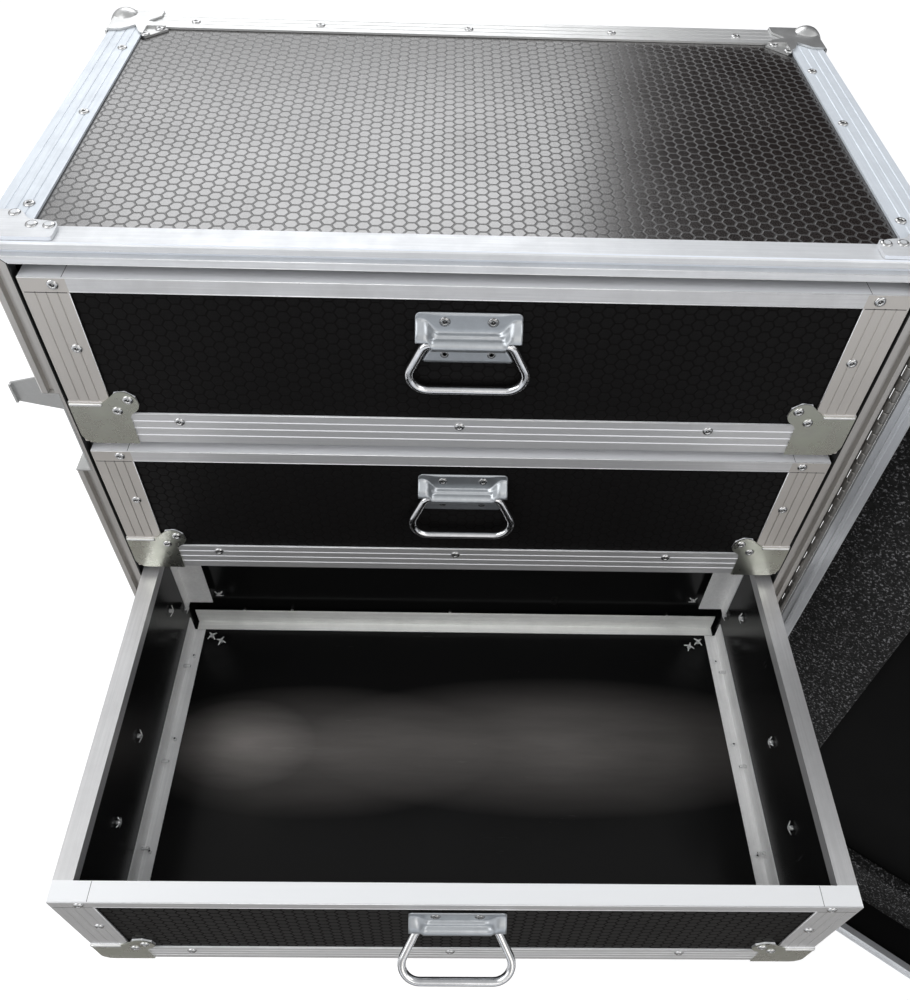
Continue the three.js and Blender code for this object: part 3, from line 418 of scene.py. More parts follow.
def metalOf(name, colour, roughness, streaks, split=None, wear=0.06, turn=0.0, dull=(0.86, 0.86, 0.86),
            depth=0.02 * mm, metallic=1.0, speckled=0.3, upright=None, patch=None):
    # brushed or drawn metal: fine lines one way, cloudy handling marks, thin scratches
    finish, tree, shader = newFinish(name)
    place, facing = texturePlace(tree, turn)
    lines = [stretchedGrain(tree, place, scale, 3.0, 0.65) for scale in streaks]
    line = lines[0]
    at = put(tree, "SeparateXYZ", {0: place})
    reach = calc(tree, "ABSOLUTE", at.outputs[0])
    if split:
        beyond = calc(tree, "GREATER_THAN", reach, split)
        line = calc(tree, "MULTIPLY_ADD", calc(tree, "SUBTRACT", lines[1], lines[0]), beyond, lines[0])
    cloud = grain(tree, place, 28 * mm, 5.0, 0.62)
    speck = grain(tree, place, 1.6 * mm, 2.0)
    rough = calc(tree, "MULTIPLY_ADD", line, 0.16, roughness - 0.08)
    rough = calc(tree, "ADD", rough, ramp(tree, cloud, 0.42, 0.7, 0.0, wear))
    tone = mixColours(tree, ramp(tree, cloud, 0.40, 0.72), colour, tuple(c * d for c, d in zip(colour, dull)))
    tone = mixColours(tree, ramp(tree, line, 0.30, 0.72, 0.0, 0.65), tone, tuple(c * 0.78 for c in colour))
    tone = mixColours(tree, ramp(tree, speck, 0.66, 0.78, 0.0, speckled), tone, tuple(c * 0.72 for c in colour))
    if upright:
        # the upright bars beyond the split are a warmer tone than the level ones
        tone = mixColours(tree, beyond, tone, upright)
    if patch:
        # the faces that look one way between two depths are matt, with a tone painted on them: painted light on
        # some faces, painted shade on others
        toward = vectorCalc(tree, "DOT_PRODUCT", facing, patch["facing"])
        inside = within(tree, at.outputs[1], *patch["depths"])
        inside = calc(tree, "MULTIPLY", inside, calc(tree, "GREATER_THAN", toward, 0.6))
        if "within" in patch:
            inside = calc(tree, "MULTIPLY", inside, calc(tree, "LESS_THAN", reach, patch["within"]))
        tone = mixColours(tree, inside, tone, patch["tone"])
    height = calc(tree, "ADD", line, calc(tree, "MULTIPLY", speck, 0.4))
    bump = put(tree, "Bump", {"Height": height, "Distance": depth, "Strength": 0.6})
    feed(tree, shader, {"Base Color": tone, "Roughness": rough, "Normal": bump.outputs[0], "Metallic": metallic})
    if patch:
        feed(tree, shader, {"Metallic": calc(tree, "MULTIPLY_ADD", inside, -metallic, metallic)})
    return finish


def darkOf(name, colour, roughness):
    finish, tree, shader = newFinish(name)
    texture = put(tree, "TexCoord")
    cloud = grain(tree, texture.outputs["Object"], 2 * mm)
    feed(tree, shader, {"Base Color": mixColours(tree, cloud, colour, tuple(c * 1.8 for c in colour)),
                        "Roughness": ramp(tree, cloud, 0.3, 0.7, roughness - 0.1, roughness + 0.1)})
    return finish


foamFinish = {
    # dark is painted shade in the hollows between the beads, middle the foam on the beads, and pale the painted
    # glints
    "dark": (0.005, 0.005, 0.005),
    "middle": (0.015, 0.015, 0.015),
    "pale": (0.20, 0.20, 0.205),
    "bead": 4.5 * mm,
    "lift": 1.6 * mm,
    "wander": 160,
    "shake": 3 * mm,
    "glintScale": 340,
    "gloss": 0.35,
}


def foamRubber():
    finish, tree, shader = newFinish("foamRubber")
    texture = put(tree, "TexCoord").outputs["Object"]
    wander = put(tree, "TexNoise", {"Vector": texture, "Scale": foamFinish["wander"],
                                    "Detail": 2.0}).outputs["Color"]
    shaken = vectorCalc(tree, "MULTIPLY_ADD", wander, (foamFinish["shake"],) * 3, texture)
    beads = put(tree, "TexVoronoi", {"Vector": shaken, "Scale": 1 / foamFinish["bead"]}, feature="SMOOTH_F1")
    bead = beads.outputs["Distance"]
    pores = grain(tree, texture, 1.1 * mm, 4.0, 0.7)
    height = calc(tree, "MULTIPLY_ADD", pores, 0.6, calc(tree, "SUBTRACT", 1.0, bead))
    fleck = grain(tree, shaken, 1 / foamFinish["glintScale"], roughness=0.6)
    # painted shade darker where the surface lies low between beads, and painted glints as pale flecks that are
    # also the glossy ones
    tone = mixColours(tree, ramp(tree, height, 0.75, 1.15), foamFinish["dark"], foamFinish["middle"])
    tone = mixColours(tree, ramp(tree, fleck, 0.56, 0.66), tone, foamFinish["pale"])
    bump = put(tree, "Bump", {"Height": height, "Distance": foamFinish["lift"], "Strength": 0.9})
    feed(tree, shader, {"Base Color": tone, "Roughness": ramp(tree, fleck, 0.55, 0.68, 0.95, 0.55),
                        "Normal": bump.outputs[0], "Specular IOR Level": foamFinish["gloss"]})
    return finish


doorTurn = math.radians(144.4)
hingeAxis = Vector((363.4, -209.0, 0)) * mm
closedCentre = Matrix.Rotation(-doorTurn, 3, "Z")  # the door's film is laid out as if it were shut


def shutCentre():
    # where the middle of the shut door lies once every point is turned back about the origin
    shut = Vector((0, -0.262, 0.5477))
    opened = Matrix.Rotation(doorTurn, 3, "Z") @ (shut - hingeAxis) + hingeAxis
    return tuple(closedCentre @ opened)


alongX, alongY, alongZ = (9, 420, 420), (420, 9, 420), (420, 420, 9)
uprightOnFront = (420, 9, 9)


def evenly(scale):
    return ((scale,) * 3,)


def patchOf(tone, facing, first, last, **more):
    return {"tone": tone, "facing": facing, "depths": (first, last), **more}


finishes = {}


def addBoard(name, gloss, **settings):
    finishes[name] = boardFinish(name, gloss, **settings)


def addMetal(name, colour, roughness, streaks, **settings):
    finishes[name] = metalOf(name, metalFinish[colour], roughness, streaks, **settings)


addBoard("topBoard", 0.9, cellRoughness=0.25, lineRough=0.22, ior=1.8, tint=(0.0075, 0.0048, 0.0040))
addBoard("caseBoard", 0.3, rails=(0.3300, 0.3485))
addBoard("drawerBoard", 0.20, centre=(0, -0.17, 0), upWeight=0.0, rails=(0.33745, 0.345), smoothRoughness=0.20,
         haze=True)
addBoard("frontFilm", 0.07, centre=(0, 0.6, 0), upWeight=0.0, cellRoughness=0.42, tint=(0.0050, 0.0047, 0.0047))
addBoard("doorBoard", 0.04, turn=doorTurn, centre=shutCentre(), smoothRoughness=0.45, ior=1.3)

addMetal("barX", "levelBar", 0.42, (alongX,), metallic=0.75)
# painted light: the mouth frame's front faces are pale blue-white and matt
addMetal("mouthBar", "mouthBar", 0.48, (alongX,), metallic=0.35,
         patch=patchOf((0.80, 0.84, 0.90), (0, -1, 0), -0.2066, -0.2000))
addMetal("barY", "depthBar", 0.55, (alongY,), metallic=0.3)
addMetal("barZ", "uprightBar", 0.36, (alongZ,), metallic=0.8)
# painted shade: the inner faces of the mouth's side frames beside the drawers are near-black
for side, name in ((1, "mouthLeft"), (-1, "mouthRight")):
    addMetal(name, "uprightBar", 0.36, (alongZ,), metallic=0.8,
             patch=patchOf((0.01, 0.01, 0.01), (side, 0, 0), -0.2076, -0.1800, within=0.343))
# painted reflection: the top faces of the front rims, in the gaps under the drawer above, are pale and matt
addMetal("drawerBar", "drawerFront", 0.38, (alongX, uprightOnFront), split=0.3035, metallic=0.74,
         upright=metalFinish["drawerUpright"], patch=patchOf((0.86, 0.87, 0.89), (0, 0, 1), -0.2080, -0.1898))
# painted highlight: the top face of the open drawer's front rim is pale and matt
addMetal("openBar", "drawerFront", 0.38, (alongX, uprightOnFront), split=0.3035, metallic=0.74,
         patch=patchOf((0.93, 0.94, 0.94), (0, 0, 1), -0.5400, -0.5218))
addMetal("angleBar", "innerAngle", 0.40, (alongY,), metallic=0.10)
addMetal("backAngleBar", "backAngle", 0.50, (alongX,), metallic=0.10)
addMetal("doorBar", "extrusion", 0.36, (alongZ,), turn=doorTurn, metallic=0.8)
addMetal("zincPlate", "zinc", 0.34, evenly(60), wear=0.08, speckled=0.12, metallic=0.8)
addMetal("braceZinc", "brace", 0.26, evenly(50), wear=0.08, speckled=0.1, dull=(0.88, 0.92, 0.86))
addMetal("hingeSteel", "hinge", 0.40, (alongZ,), speckled=0.0)
addMetal("brightSteel", "bright", 0.15, evenly(160), wear=0.08, depth=0.01 * mm)
addMetal("plateSteel", "plate", 0.32, evenly(160), wear=0.08, metallic=0.92, depth=0.01 * mm)
addMetal("rivetMetal", "rivet", 0.20, evenly(260), wear=0.10, depth=0.01 * mm)
addMetal("rivetEnd", "rivetEnd", 0.28, evenly(260), wear=0.10, metallic=0.4, depth=0.01 * mm)
# near-white and nearly matt: the edge rods read as a painted highlight
addMetal("paintedHighlightMetal", "bead", 0.30, evenly(160), wear=0.05, speckled=0.0, metallic=0.25, depth=0.005 * mm)
# near-black: painted shade in the shallow pits of rivet heads and pins, and the dark joints
finishes["rivetHole"] = darkOf("rivetHole", (0.012, 0.012, 0.012), 0.5)
finishes["foam"] = foamRubber()


def dress(name, finish):
    slots = nodes[name].data.materials
    slots.clear()
    slots.append(finishes[finish])


# how a node's name starts and ends, and its finish: the first that fits
wardrobe = (
    ("top_panel", "", "topBoard"), ("door_panel", "", "doorBoard"), ("door_walls", "", "doorBoard"),
    ("", "_panel", "caseBoard"), ("drawer_", "_box", "drawerBoard"), ("drawer_3_trim", "", "openBar"),
    ("", "_trim", "drawerBar"), ("", "_angles", "angleBar"), ("frame_left", "", "mouthLeft"),
    ("frame_right", "", "mouthRight"), ("frame_", "", "mouthBar"), ("edge_back_top", "", "barX"),
    ("edge_back_bottom", "", "barX"), ("edge_back_", "", "barZ"), ("edge_", "", "barY"),
    ("door_frame", "", "doorBar"), ("door_edging", "", "doorBar"), ("", "_bail", "brightSteel"),
    ("door_foam", "", "foam"), ("hinge_", "", "hingeSteel"), ("", "", "zincPlate"),
)

for name in nodes:
    dress(name, next(finish for start, end, finish in wardrobe if name.startswith(start) and name.endswith(end)))
print("finishes are on the frame")


# Making pieces

def settle(bm, name, body, finish, smooth=True, extra=()):
    bmesh.ops.recalc_face_normals(bm, faces=bm.faces)
    mesh = meshFrom(bm, name)
    for polygon in mesh.polygons:
        polygon.use_smooth = smooth
    for one in (finish, *extra):
        mesh.materials.append(finishes[one])
    piece = addObject(name, mesh)
    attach(piece, body)
    return piece


def settleRivets(bm, name, body, finish="rivetMetal"):
    settle(bm, name, body, finish, extra=("rivetHole",))


def finishBy(piece, kind, **settings):
    modifier = piece.modifiers.new(kind.title(), kind)
    for setting, value in settings.items():
        setattr(modifier, setting, value)


def moveNew(bm, geometry, step):
    verts = [one for one in geometry if isinstance(one, bmesh.types.BMVert)]
    bmesh.ops.translate(bm, verts=verts, vec=step)


def spun(profile, steps, hole=None):
    # turns a half outline of (radius, height) in mm round Z
    bm = bmesh.new()
    points = [bm.verts.new((radius * mm, 0, height * mm)) for radius, height in profile]
    edges = [bm.edges.new(pair) for pair in zip(points, points[1:])]
    bmesh.ops.spin(bm, geom=points + edges, cent=(0, 0, 0), axis=(0, 0, 1), dvec=(0, 0, 0),
                   angle=2 * math.pi, steps=steps, use_merge=True)
    bmesh.ops.remove_doubles(bm, verts=bm.verts, dist=0.001 * mm)
    bmesh.ops.recalc_face_normals(bm, faces=bm.faces)
    if hole:
        for face in bm.faces:
            middle = face.calc_center_median()
            if hole[0] < Vector((middle.x, middle.y)).length / mm < hole[1] and middle.z / mm < hole[2]:
                face.material_index = 1
    return meshFrom(bm, "stampShape")


def stamp(bm, shape, place, facing, turn=0.0):
    before = len(bm.verts)
    bm.from_mesh(shape)
    bm.verts.ensure_lookup_table()
    aim = Vector(facing).to_track_quat("Z", "Y").to_matrix().to_4x4()
    bmesh.ops.transform(bm, verts=bm.verts[before:], matrix=(
        Matrix.Translation(Vector(place) * mm) @ aim @ Matrix.Rotation(turn, 4, "Z")))


# Rivets

rivet = {
    "radius": 4.6,
    "segments": 14,
    # outlines as (share of the radius, height), and where the hole's faces are, which are near-black as painted
    # shade
    "domed": ((1, 0), (1, 0.4), (0.93, 0.95), (0.78, 1.4), (0.58, 1.7), (0.44, 1.55), (0.36, 1.1), (0.32, 0.45),
              (0.18, 0.4), (0.15, 0.7), (0, 0.8)),
    "domedHole": (0.14, 0.36, 1.2),
    "flat": ((1.02, 0), (1.01, 0.5), (0.95, 1.0), (0.82, 1.4), (0.62, 1.62), (0.42, 1.66), (0.34, 1.62),
             (0.2, 1.61), (0, 1.63)),
    "flatHole": (0, 0.36, 2.0),
}


def rivetOf(kind):
    radius = rivet["radius"]
    inner, outer, height = rivet[kind + "Hole"]
    return spun([(radius * share, up) for share, up in rivet[kind]], rivet["segments"],
                hole=(inner * radius, outer * radius, height))


rivetShape, flatRivetShape = rivetOf("domed"), rivetOf("flat")
setRivetShape = spun([(3.6, 0), (3.5, 0.3), (2.6, 0.4), (1.7, 0.35), (1.5, 0.1), (0, 0.1)], 12,
                     hole=(0.0, 1.6, 2.0))

# drawers counted from the top: the top edge and the front plane of each
drawerTops = (1067.7, 879.7, 691.7, 503.7, 259.2)
drawerHeights = (175, 175, 175, 231.5, 231.5)
drawerFronts = (-207.5, -207.5, -539.5, -207.5, -207.5)
caseTop, caseFoot, caseBack, caseMouth, caseSide = 1097.7, -2.3, 207.5, -207.5, 360.0
caseEnds = ((caseTop, 1), (caseFoot, -1))
caseCorners = [(side, z, up) for side in (-1, 1) for z, up in caseEnds]
drawerWall = 10.8
drawerInner = 323.1
drawerLong = 386.0
frontDeep = 15.9


def drawerPlace(number):
    top = drawerTops[number - 1]
    return top, top - drawerHeights[number - 1], drawerFronts[number - 1]


brace = {
    "edge": 339,
    # inward from the outer edge, up from the foot, and how far the corner is cut back round
    "outline": ((-1.2, -1.2, 12), (48.2, -1.2, 0.6), (48.2, 34.5, 5.2), (63.6, 43.4, 12.45), (49.2, 68.35, 16.25),
                (28.9, 47.2, 5.5), (-1.2, 47.2, 1.2)),
    "proud": 0.07,
    "sunk": 0.6,
    "bead": (1.5, 45.6, -0.6, 27.5),
}

caseRivets = {
    "inset": 21,
    # in from the side, and the places along the depth, of the top's and bottom's side angles
    "left": (25, (-156.5, -9.5, 121.5)),
    "right": (27, (-153.5, 3.5, 108.5)),
    "backRow": (-277, -151, 0, 146, 274),
    "sideRow": (-148, -12, 118),
    "backFace": (-262, -131, 0, 131, 262),
    "uprights": [120 + step * 171 for step in range(6)],
    # along one edge and across it, of the two lobes of each leaf
    "lobes": ((50.8, 40.1), (39.2, 53.8)),
    "lobeProud": 0.2,
    # in from the side and back from the mouth, on the brackets
    "bracket": ((21, 33.5), (38, 18.6), (51, 17.9)),
    "bracketProud": 3,
}

frontRivets = {
    # out from the middle and down from the top edge
    "upright": ((314, 6.2), (314.5, 68)),
    "tallDrawer": (314.5, 110),
    # in from the brace's outer edge and up from the foot
    "brace": ((51, 52), (39, 39)),
    # on the handle plate: out from the middle, and down from the top edge
    "plateRow": (-19, 19),
    "plateDown": (33.7, 66.8),
    "foot": ((-250, -5, 215), 26),
}


def cabinetRivets():
    bm = bmesh.new()
    inset = caseRivets["inset"]
    for z, up in caseEnds:
        for side, name in ((-1, "left"), (1, "right")):
            across, row = caseRivets[name]
            for y in row:
                stamp(bm, rivetShape, (side * (caseSide - across), y, z), (0, 0, up))
        for x in caseRivets["backRow"]:
            stamp(bm, rivetShape, (x, caseBack - inset, z), (0, 0, up))
    for side in (-1, 1):
        for z in (caseTop - inset, caseFoot + inset):
            for y in caseRivets["sideRow"]:
                stamp(bm, rivetShape, (side * caseSide, y, z), (side, 0, 0))
        for z in caseRivets["uprights"]:
            stamp(bm, rivetShape, (side * caseSide, caseBack - inset, z), (side, 0, 0))
            stamp(bm, rivetShape, (side * (caseSide - inset), caseBack, z), (0, 1, 0))
    for z in (caseTop - inset, caseFoot + inset):
        for x in caseRivets["backFace"]:
            stamp(bm, rivetShape, (x, caseBack, z), (0, 1, 0))
    proud = caseRivets["lobeProud"]
    for side, z, up in caseCorners:
        for along, across in caseRivets["lobes"]:
            stamp(bm, rivetShape, (side * (caseSide - along), caseBack - across, z + up * proud), (0, 0, up))
            stamp(bm, rivetShape, (side * (caseSide - along), caseBack + proud, z - up * across), (0, 1, 0))
            stamp(bm, rivetShape, (side * (caseSide + proud), caseBack - along, z - up * across), (side, 0, 0))
    settleRivets(bm, "cabinetRivets", "cabinet")
    bm = bmesh.new()
    proud = caseRivets["bracketProud"]
    for side, z, up in caseCorners:
        for along, back in caseRivets["bracket"]:
            stamp(bm, flatRivetShape, (side * (caseSide - along), caseMouth + back, z + up * proud), (0, 0, up))
    settleRivets(bm, "bracketRivets", "cabinet")


def drawerRivets(number):
    top, bottom, front = drawerPlace(number)
    bm = bmesh.new()
    for side in (-1, 1):
        for across, down in frontRivets["upright"]:
            stamp(bm, rivetShape, (side * across, front, top - down), (0, -1, 0))
        for along, up in frontRivets["brace"]:
            stamp(bm, rivetShape, (side * (brace["edge"] - along), front - 1, bottom + up), (0, -1, 0))
        if top - bottom > 200:
            across, up = frontRivets["tallDrawer"]
            stamp(bm, rivetShape, (side * across, front, bottom + up), (0, -1, 0))
        # these are set once for each side, so they lie double
        upper, lower = frontRivets["plateDown"]
        for across in frontRivets["plateRow"]:
            stamp(bm, rivetShape, (across, front + 0.3, top - upper), (0, -1, 0))
            stamp(bm, setRivetShape, (across, front, top - lower), (0, -1, 0))
    row, up = frontRivets["foot"]
    for x in row:
        stamp(bm, rivetShape, (x, front, bottom + up), (0, -1, 0))
    settleRivets(bm, f"drawer{number}Rivets", f"drawer_{number}")


cabinetRivets()
for number in range(1, 6):
    drawerRivets(number)
print("rivets are in")


# Film on the drawer fronts, which shows the honeycomb

frontFilm = {
    "reach": 334,
    "behind": 1.72,
    "inset": 8,
}


def drawerFilm(number):
    top, bottom, front = drawerPlace(number)
    bm = bmesh.new()
    bmesh.ops.create_grid(bm, x_segments=4, y_segments=2, size=1)
    for vert in bm.verts:
        across, up = vert.co.x * frontFilm["reach"], vert.co.y * ((top - bottom) / 2 - frontFilm["inset"])
        vert.co = Vector((across, front + frontFilm["behind"], (top + bottom) / 2 + up)) * mm
    film = settle(bm, f"drawer{number}Film", f"drawer_{number}", "frontFilm", smooth=False)
    if film.data.polygons[0].normal.y > 0:
        film.data.flip_normals()


for number in range(1, 6):
    drawerFilm(number)


# Bright-zinc face of each pressed brace

def bracePlates(number):
    _, bottom, front = drawerPlace(number)
    bm = bmesh.new()
    for side in (-1, 1):
        places = [(side * (brace["edge"] - along), front - 1 - brace["proud"], bottom + up)
                  for along, up, _ in brace["outline"]]
        corners = [bm.verts.new(Vector(place) * mm) for place in places]
        bm.faces.new(corners)
        for vert, (_, _, cut) in zip(corners, brace["outline"]):
            bmesh.ops.bevel(bm, geom=[vert], offset=cut * mm, offset_type="ABSOLUTE", affect="VERTICES",
                            segments=10, profile=0.5, material=-1, clamp_overlap=True)
    grown = bmesh.ops.extrude_face_region(bm, geom=bm.faces[:])["geom"]
    moveNew(bm, grown, (0, brace["sunk"] * mm, 0))
    settle(bm, f"drawer{number}Braces", f"drawer_{number}", "braceZinc", smooth=False)

    # the rolled lip along the upper edge of each
    radius, up, first, last = brace["bead"]
    lip = spun([(0, 0), (radius * 0.6, 0), (radius, 0.5), (radius, 1), (radius, last - first - 1),
                (radius, last - first - 0.5), (radius * 0.6, last - first), (0, last - first)], 14)
    bm = bmesh.new()
    for side in (-1, 1):
        stamp(bm, lip, (side * (brace["edge"] - first), front - 1, bottom + up), (-side, 0, 0))
    settle(bm, f"drawer{number}BraceLips", f"drawer_{number}", "zincPlate")


for number in range(1, 6):
    bracePlates(number)


# Bails

bail = {
    "wire": 7.6,
    "drop": 48.3,
    "topWidth": 70,
    "bottomWidth": 114,
    "topBend": 5,
    "bottomBend": 25,
    "sides": 20,
    "tilts": (0, 8, 45, 0, 0),
    "reach": 4.2,
    "below": 53.4,
}


def ringEdges(geometry):
    return [one for one in geometry if isinstance(one, bmesh.types.BMEdge)]


def drawOut(bm, edges, step):
    grown = bmesh.ops.extrude_edge_only(bm, edges=edges)["geom"]
    moveNew(bm, grown, Vector(step) * mm)
    return ringEdges(grown)


def bendRound(bm, edges, centre, turn, steps):
    verts = list({vert for edge in edges for vert in edge.verts})
    grown = bmesh.ops.spin(bm, geom=verts + edges, cent=Vector(centre) * mm, axis=(0, 1, 0), dvec=(0, 0, 0),
                           angle=turn, steps=steps, use_merge=False, use_duplicate=False)["geom_last"]
    return ringEdges(grown)


def makeBail(number):
    half, foot, drop = bail["topWidth"] / 2, bail["bottomWidth"] / 2, bail["drop"]
    lean = math.atan2(foot - half, drop)
    topTurn, bottomTurn = math.pi / 2 - lean, math.pi / 2 + lean
    topRadius = bail["topBend"] / math.tan(topTurn / 2)
    bottomRadius = bail["bottomBend"] / math.tan(bottomTurn / 2)
    bm = bmesh.new()
    ring = bmesh.ops.create_circle(bm, cap_ends=False, radius=bail["wire"] / 2 * mm, segments=bail["sides"])
    bmesh.ops.rotate(bm, verts=ring["verts"], cent=(0, 0, 0), matrix=Matrix.Rotation(math.pi / 2, 3, "Y"))
    edges = list(bm.edges)
    edges = drawOut(bm, edges, (half - bail["topBend"], 0, 0))
    edges = bendRound(bm, edges, (half - bail["topBend"], 0, -topRadius), topTurn, 8)
    slope = Vector((math.sin(lean), 0, -math.cos(lean)))
    leg = math.hypot(foot - half, drop) - bail["topBend"] - bail["bottomBend"]
    edges = drawOut(bm, edges, slope * leg)
    middle = Vector((foot, 0, -drop)) - slope * bail["bottomBend"]
    inward = Vector((-math.cos(lean), 0, -math.sin(lean)))
    edges = bendRound(bm, edges, middle + inward * bottomRadius, bottomTurn, 12)
    drawOut(bm, edges, (-(foot - bail["bottomBend"]), 0, 0))
    bmesh.ops.mirror(bm, geom=bm.verts[:] + bm.edges[:] + bm.faces[:], axis="X", merge_dist=0.02 * mm)
    bmesh.ops.remove_doubles(bm, verts=bm.verts, dist=0.02 * mm)
    top, _, front = drawerPlace(number)
    pivot = Vector((0, front - bail["reach"], top - bail["below"])) * mm
    tilt = Matrix.Rotation(-math.radians(bail["tilts"][number - 1]), 4, "X")
    bmesh.ops.transform(bm, verts=bm.verts, matrix=Matrix.Translation(pivot) @ tilt)
    piece = settle(bm, f"bail{number}", f"bail_{number}", "brightSteel")
    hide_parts(f"drawer_{number}_bail")


# Handle plates: a pressed sheet that swells over the bail's top bar

plate = {
    "width": 84.5,
    "height": 50,
    "below": 25,
    "sheet": 1.5,
    "barrel": 59.5,
    "axis": 28.4,
    "bulge": 5.7,
    "footWidth": 77.5,
    "meet": 10,
    # down and out from the plate's upper edge: a ledge, a shallow dip, then the barrel
    "ridge": ((18.4, 1.5), (19.0, 1.65), (19.4, 2.2), (19.7, 3.0), (19.9, 3.8), (20.2, 4.5), (20.7, 4.9),
              (21.3, 5.05), (21.8, 5.2), (22.2, 5.5), (22.5, 5.9), (22.65, 6.3), (22.79, 6.69)),
    "lobe": ((5.9, 1.5), (18.0, 10.2), (23.0, 11.4)),
    # how far out from the middle the ridge ends and the lobe begins, at the flat, the rise and the lip
    "spread": ((23, 37), (28, 33.5), (29.75, 32)),
    "rows": (6, 12, 8),
    "lowerRows": (12, 8),
    "corner": 5,
}


def easeStep(value):
    value = min(1, max(0, value))
    return value * value * (3 - 2 * value)


def between(first, last, share):
    return first + (last - first) * share


def rounded(across, down, cornerAcross, cornerDown, sign):
    radius = plate["corner"]
    away = Vector((abs(across) - (cornerAcross - radius), (down - cornerDown) * sign + radius))
    if away.x > 0 and away.y > 0 and away.length > radius:
        away *= radius / away.length
        across = math.copysign(cornerAcross - radius + away.x, across)
        down = cornerDown + sign * (away.y - radius)
    return across, down


def upperSheet(share, row):
    # the sheet above the bail: flat, then rising to a lobe at each end, then round the barrel
    half, waist = plate["width"] / 2, plate["barrel"] / 2
    flatRows, riseRows, roundRows = plate["rows"]
    across = share / 0.7 * waist
    if abs(share) > 0.7:
        across = math.copysign(between(waist, half, (abs(share) - 0.7) / 0.3), share)
    (flatEnd, flatOut), (swellDown, swellOut), (lipDown, lipOut) = plate["lobe"]
    atFlat, atRise, atLip = plate["spread"]
    if row <= flatRows:
        t = row / flatRows
        middle, lobe = (plate["ridge"][0][0] * t, plate["sheet"]), (flatEnd * t, flatOut)
        inner, outer = atFlat
    elif row <= flatRows + riseRows:
        t = (row - flatRows) / riseRows
        middle = plate["ridge"][row - flatRows]
        lobe = between(flatEnd, swellDown, t), between(flatOut, swellOut, 0.6 * easeStep(t) + 0.4 * t)
        inner, outer = (between(first, last, t) for first, last in zip(atFlat, atRise))
    else:
        t = (row - flatRows - riseRows) / roundRows
        angle = between(math.radians(plate["meet"]), math.pi / 2, t)
        middle = roundBarrel(angle)
        lobe = between(swellDown, lipDown, t), between(swellOut, lipOut, 2 * t - t * t)
        inner, outer = (between(first, last, t) for first, last in zip(atRise, atLip))
    spread = easeStep((abs(across) - inner) / (outer - inner))
    down, out = between(middle[0], lobe[0], spread), between(middle[1], lobe[1], spread)
    return (*rounded(across, down, half, 0, -1), out)


def roundBarrel(angle):
    # how far down and out the barrel is, at an angle from its top
    return plate["axis"] - plate["bulge"] * math.cos(angle), plate["bulge"] * (1 + math.sin(angle))


def lowerSheet(share, row):
    # under the barrel and down to the foot
    waist = plate["barrel"] / 2
    across = share * waist
    barrelRows, footRows = plate["lowerRows"]
    if row <= barrelRows:
        down, out = roundBarrel(math.pi / 2 * (1 + row / barrelRows))
        return across, down, max(out, plate["sheet"]) if row > 9 else out
    t = (row - barrelRows) / footRows
    start = plate["axis"] + plate["bulge"] + 0.3
    grow = between(1, plate["footWidth"] / plate["barrel"], t)
    down = between(start, plate["height"], t)
    return (*rounded(across * grow, down, waist * grow, plate["height"], 1), plate["sheet"])


def makePlate(number):
    top, _, front = drawerPlace(number)
    face = front + plate["sheet"]
    bm = bmesh.new()
    for sheet, columns, rows in ((upperSheet, 40, sum(plate["rows"])), (lowerSheet, 28, sum(plate["lowerRows"]))):
        grid = bmesh.ops.create_grid(bm, x_segments=columns, y_segments=rows, size=1)
        for vert in grid["verts"]:
            across, down, out = sheet(vert.co.x, round((1 - vert.co.y) / 2 * rows))
            vert.co = Vector((across, face - out, top - plate["below"] - down)) * mm
    bmesh.ops.remove_doubles(bm, verts=bm.verts, dist=0.02 * mm)
    bmesh.ops.recalc_face_normals(bm, faces=bm.faces)
    if sum(one.normal.y for one in bm.faces) > 0:
        bmesh.ops.reverse_faces(bm, faces=bm.faces)
    mesh = meshFrom(bm, f"handlePlate{number}")
    for polygon in mesh.polygons:
        polygon.use_smooth = True
    mesh.materials.append(finishes["plateSteel"])
    piece = addObject(f"handlePlate{number}", mesh)
    finishBy(piece, "SOLIDIFY", thickness=1.1 * mm, offset=-1)
    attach(piece, f"drawer_{number}")
    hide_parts(f"drawer_{number}_handle_plate")


for number in range(1, 6):
    makeBail(number)
    makePlate(number)
print("handles are in")


# Domes of the ball corners

ballCorner = {
    "radius": 16.98,
    "inset": 9.5,
}


def ballDomes():
    bm = bmesh.new()
    inset = ballCorner["inset"]
    for side, z, up in caseCorners:
        place = Vector((side * (caseSide - inset), caseBack - inset, z - up * inset)) * mm
        bmesh.ops.create_uvsphere(bm, u_segments=32, v_segments=20, radius=ballCorner["radius"] * mm,
                                  matrix=Matrix.Translation(place))
    settle(bm, "ballDomes", "cabinet", "zincPlate")


ballDomes()


# Full-length hinge: round knuckles over the leaves' own

hinge = {
    "low": 45.7,
    "high": 1049.7,
    "count": 79,
    "radius": 3.12,
    "gap": 0.5,
}


def knuckles(name, body, first):
    pitch = (hinge["high"] - hinge["low"]) / hinge["count"]
    long = pitch - hinge["gap"]
    radius = hinge["radius"]
    shape = spun([(2.3, 0), (radius - 0.4, 0), (radius - 0.1, 0.2), (radius, 0.5), (radius, 1.0),
                  (radius, long - 1.3), (radius - 0.05, long - 0.8), (radius - 0.55, long - 0.1),
                  (radius - 0.65, long), (2.3, long)], 16)
    bm = bmesh.new()
    for k in range(first, hinge["count"], 2):
        foot = hinge["low"] + k * pitch + hinge["gap"] / 2
        stamp(bm, shape, (hingeAxis.x / mm, hingeAxis.y / mm, foot), (0, 0, 1))
    settle(bm, name, body, "hingeSteel")


knuckles("cabinetKnuckles", "cabinet", 1)
knuckles("doorKnuckles", "door", 0)
print("corners and hinge are in")


# Foam ring in the door

foamRing = {
    "edge": 3.0,
    "fill": 0.9,
}


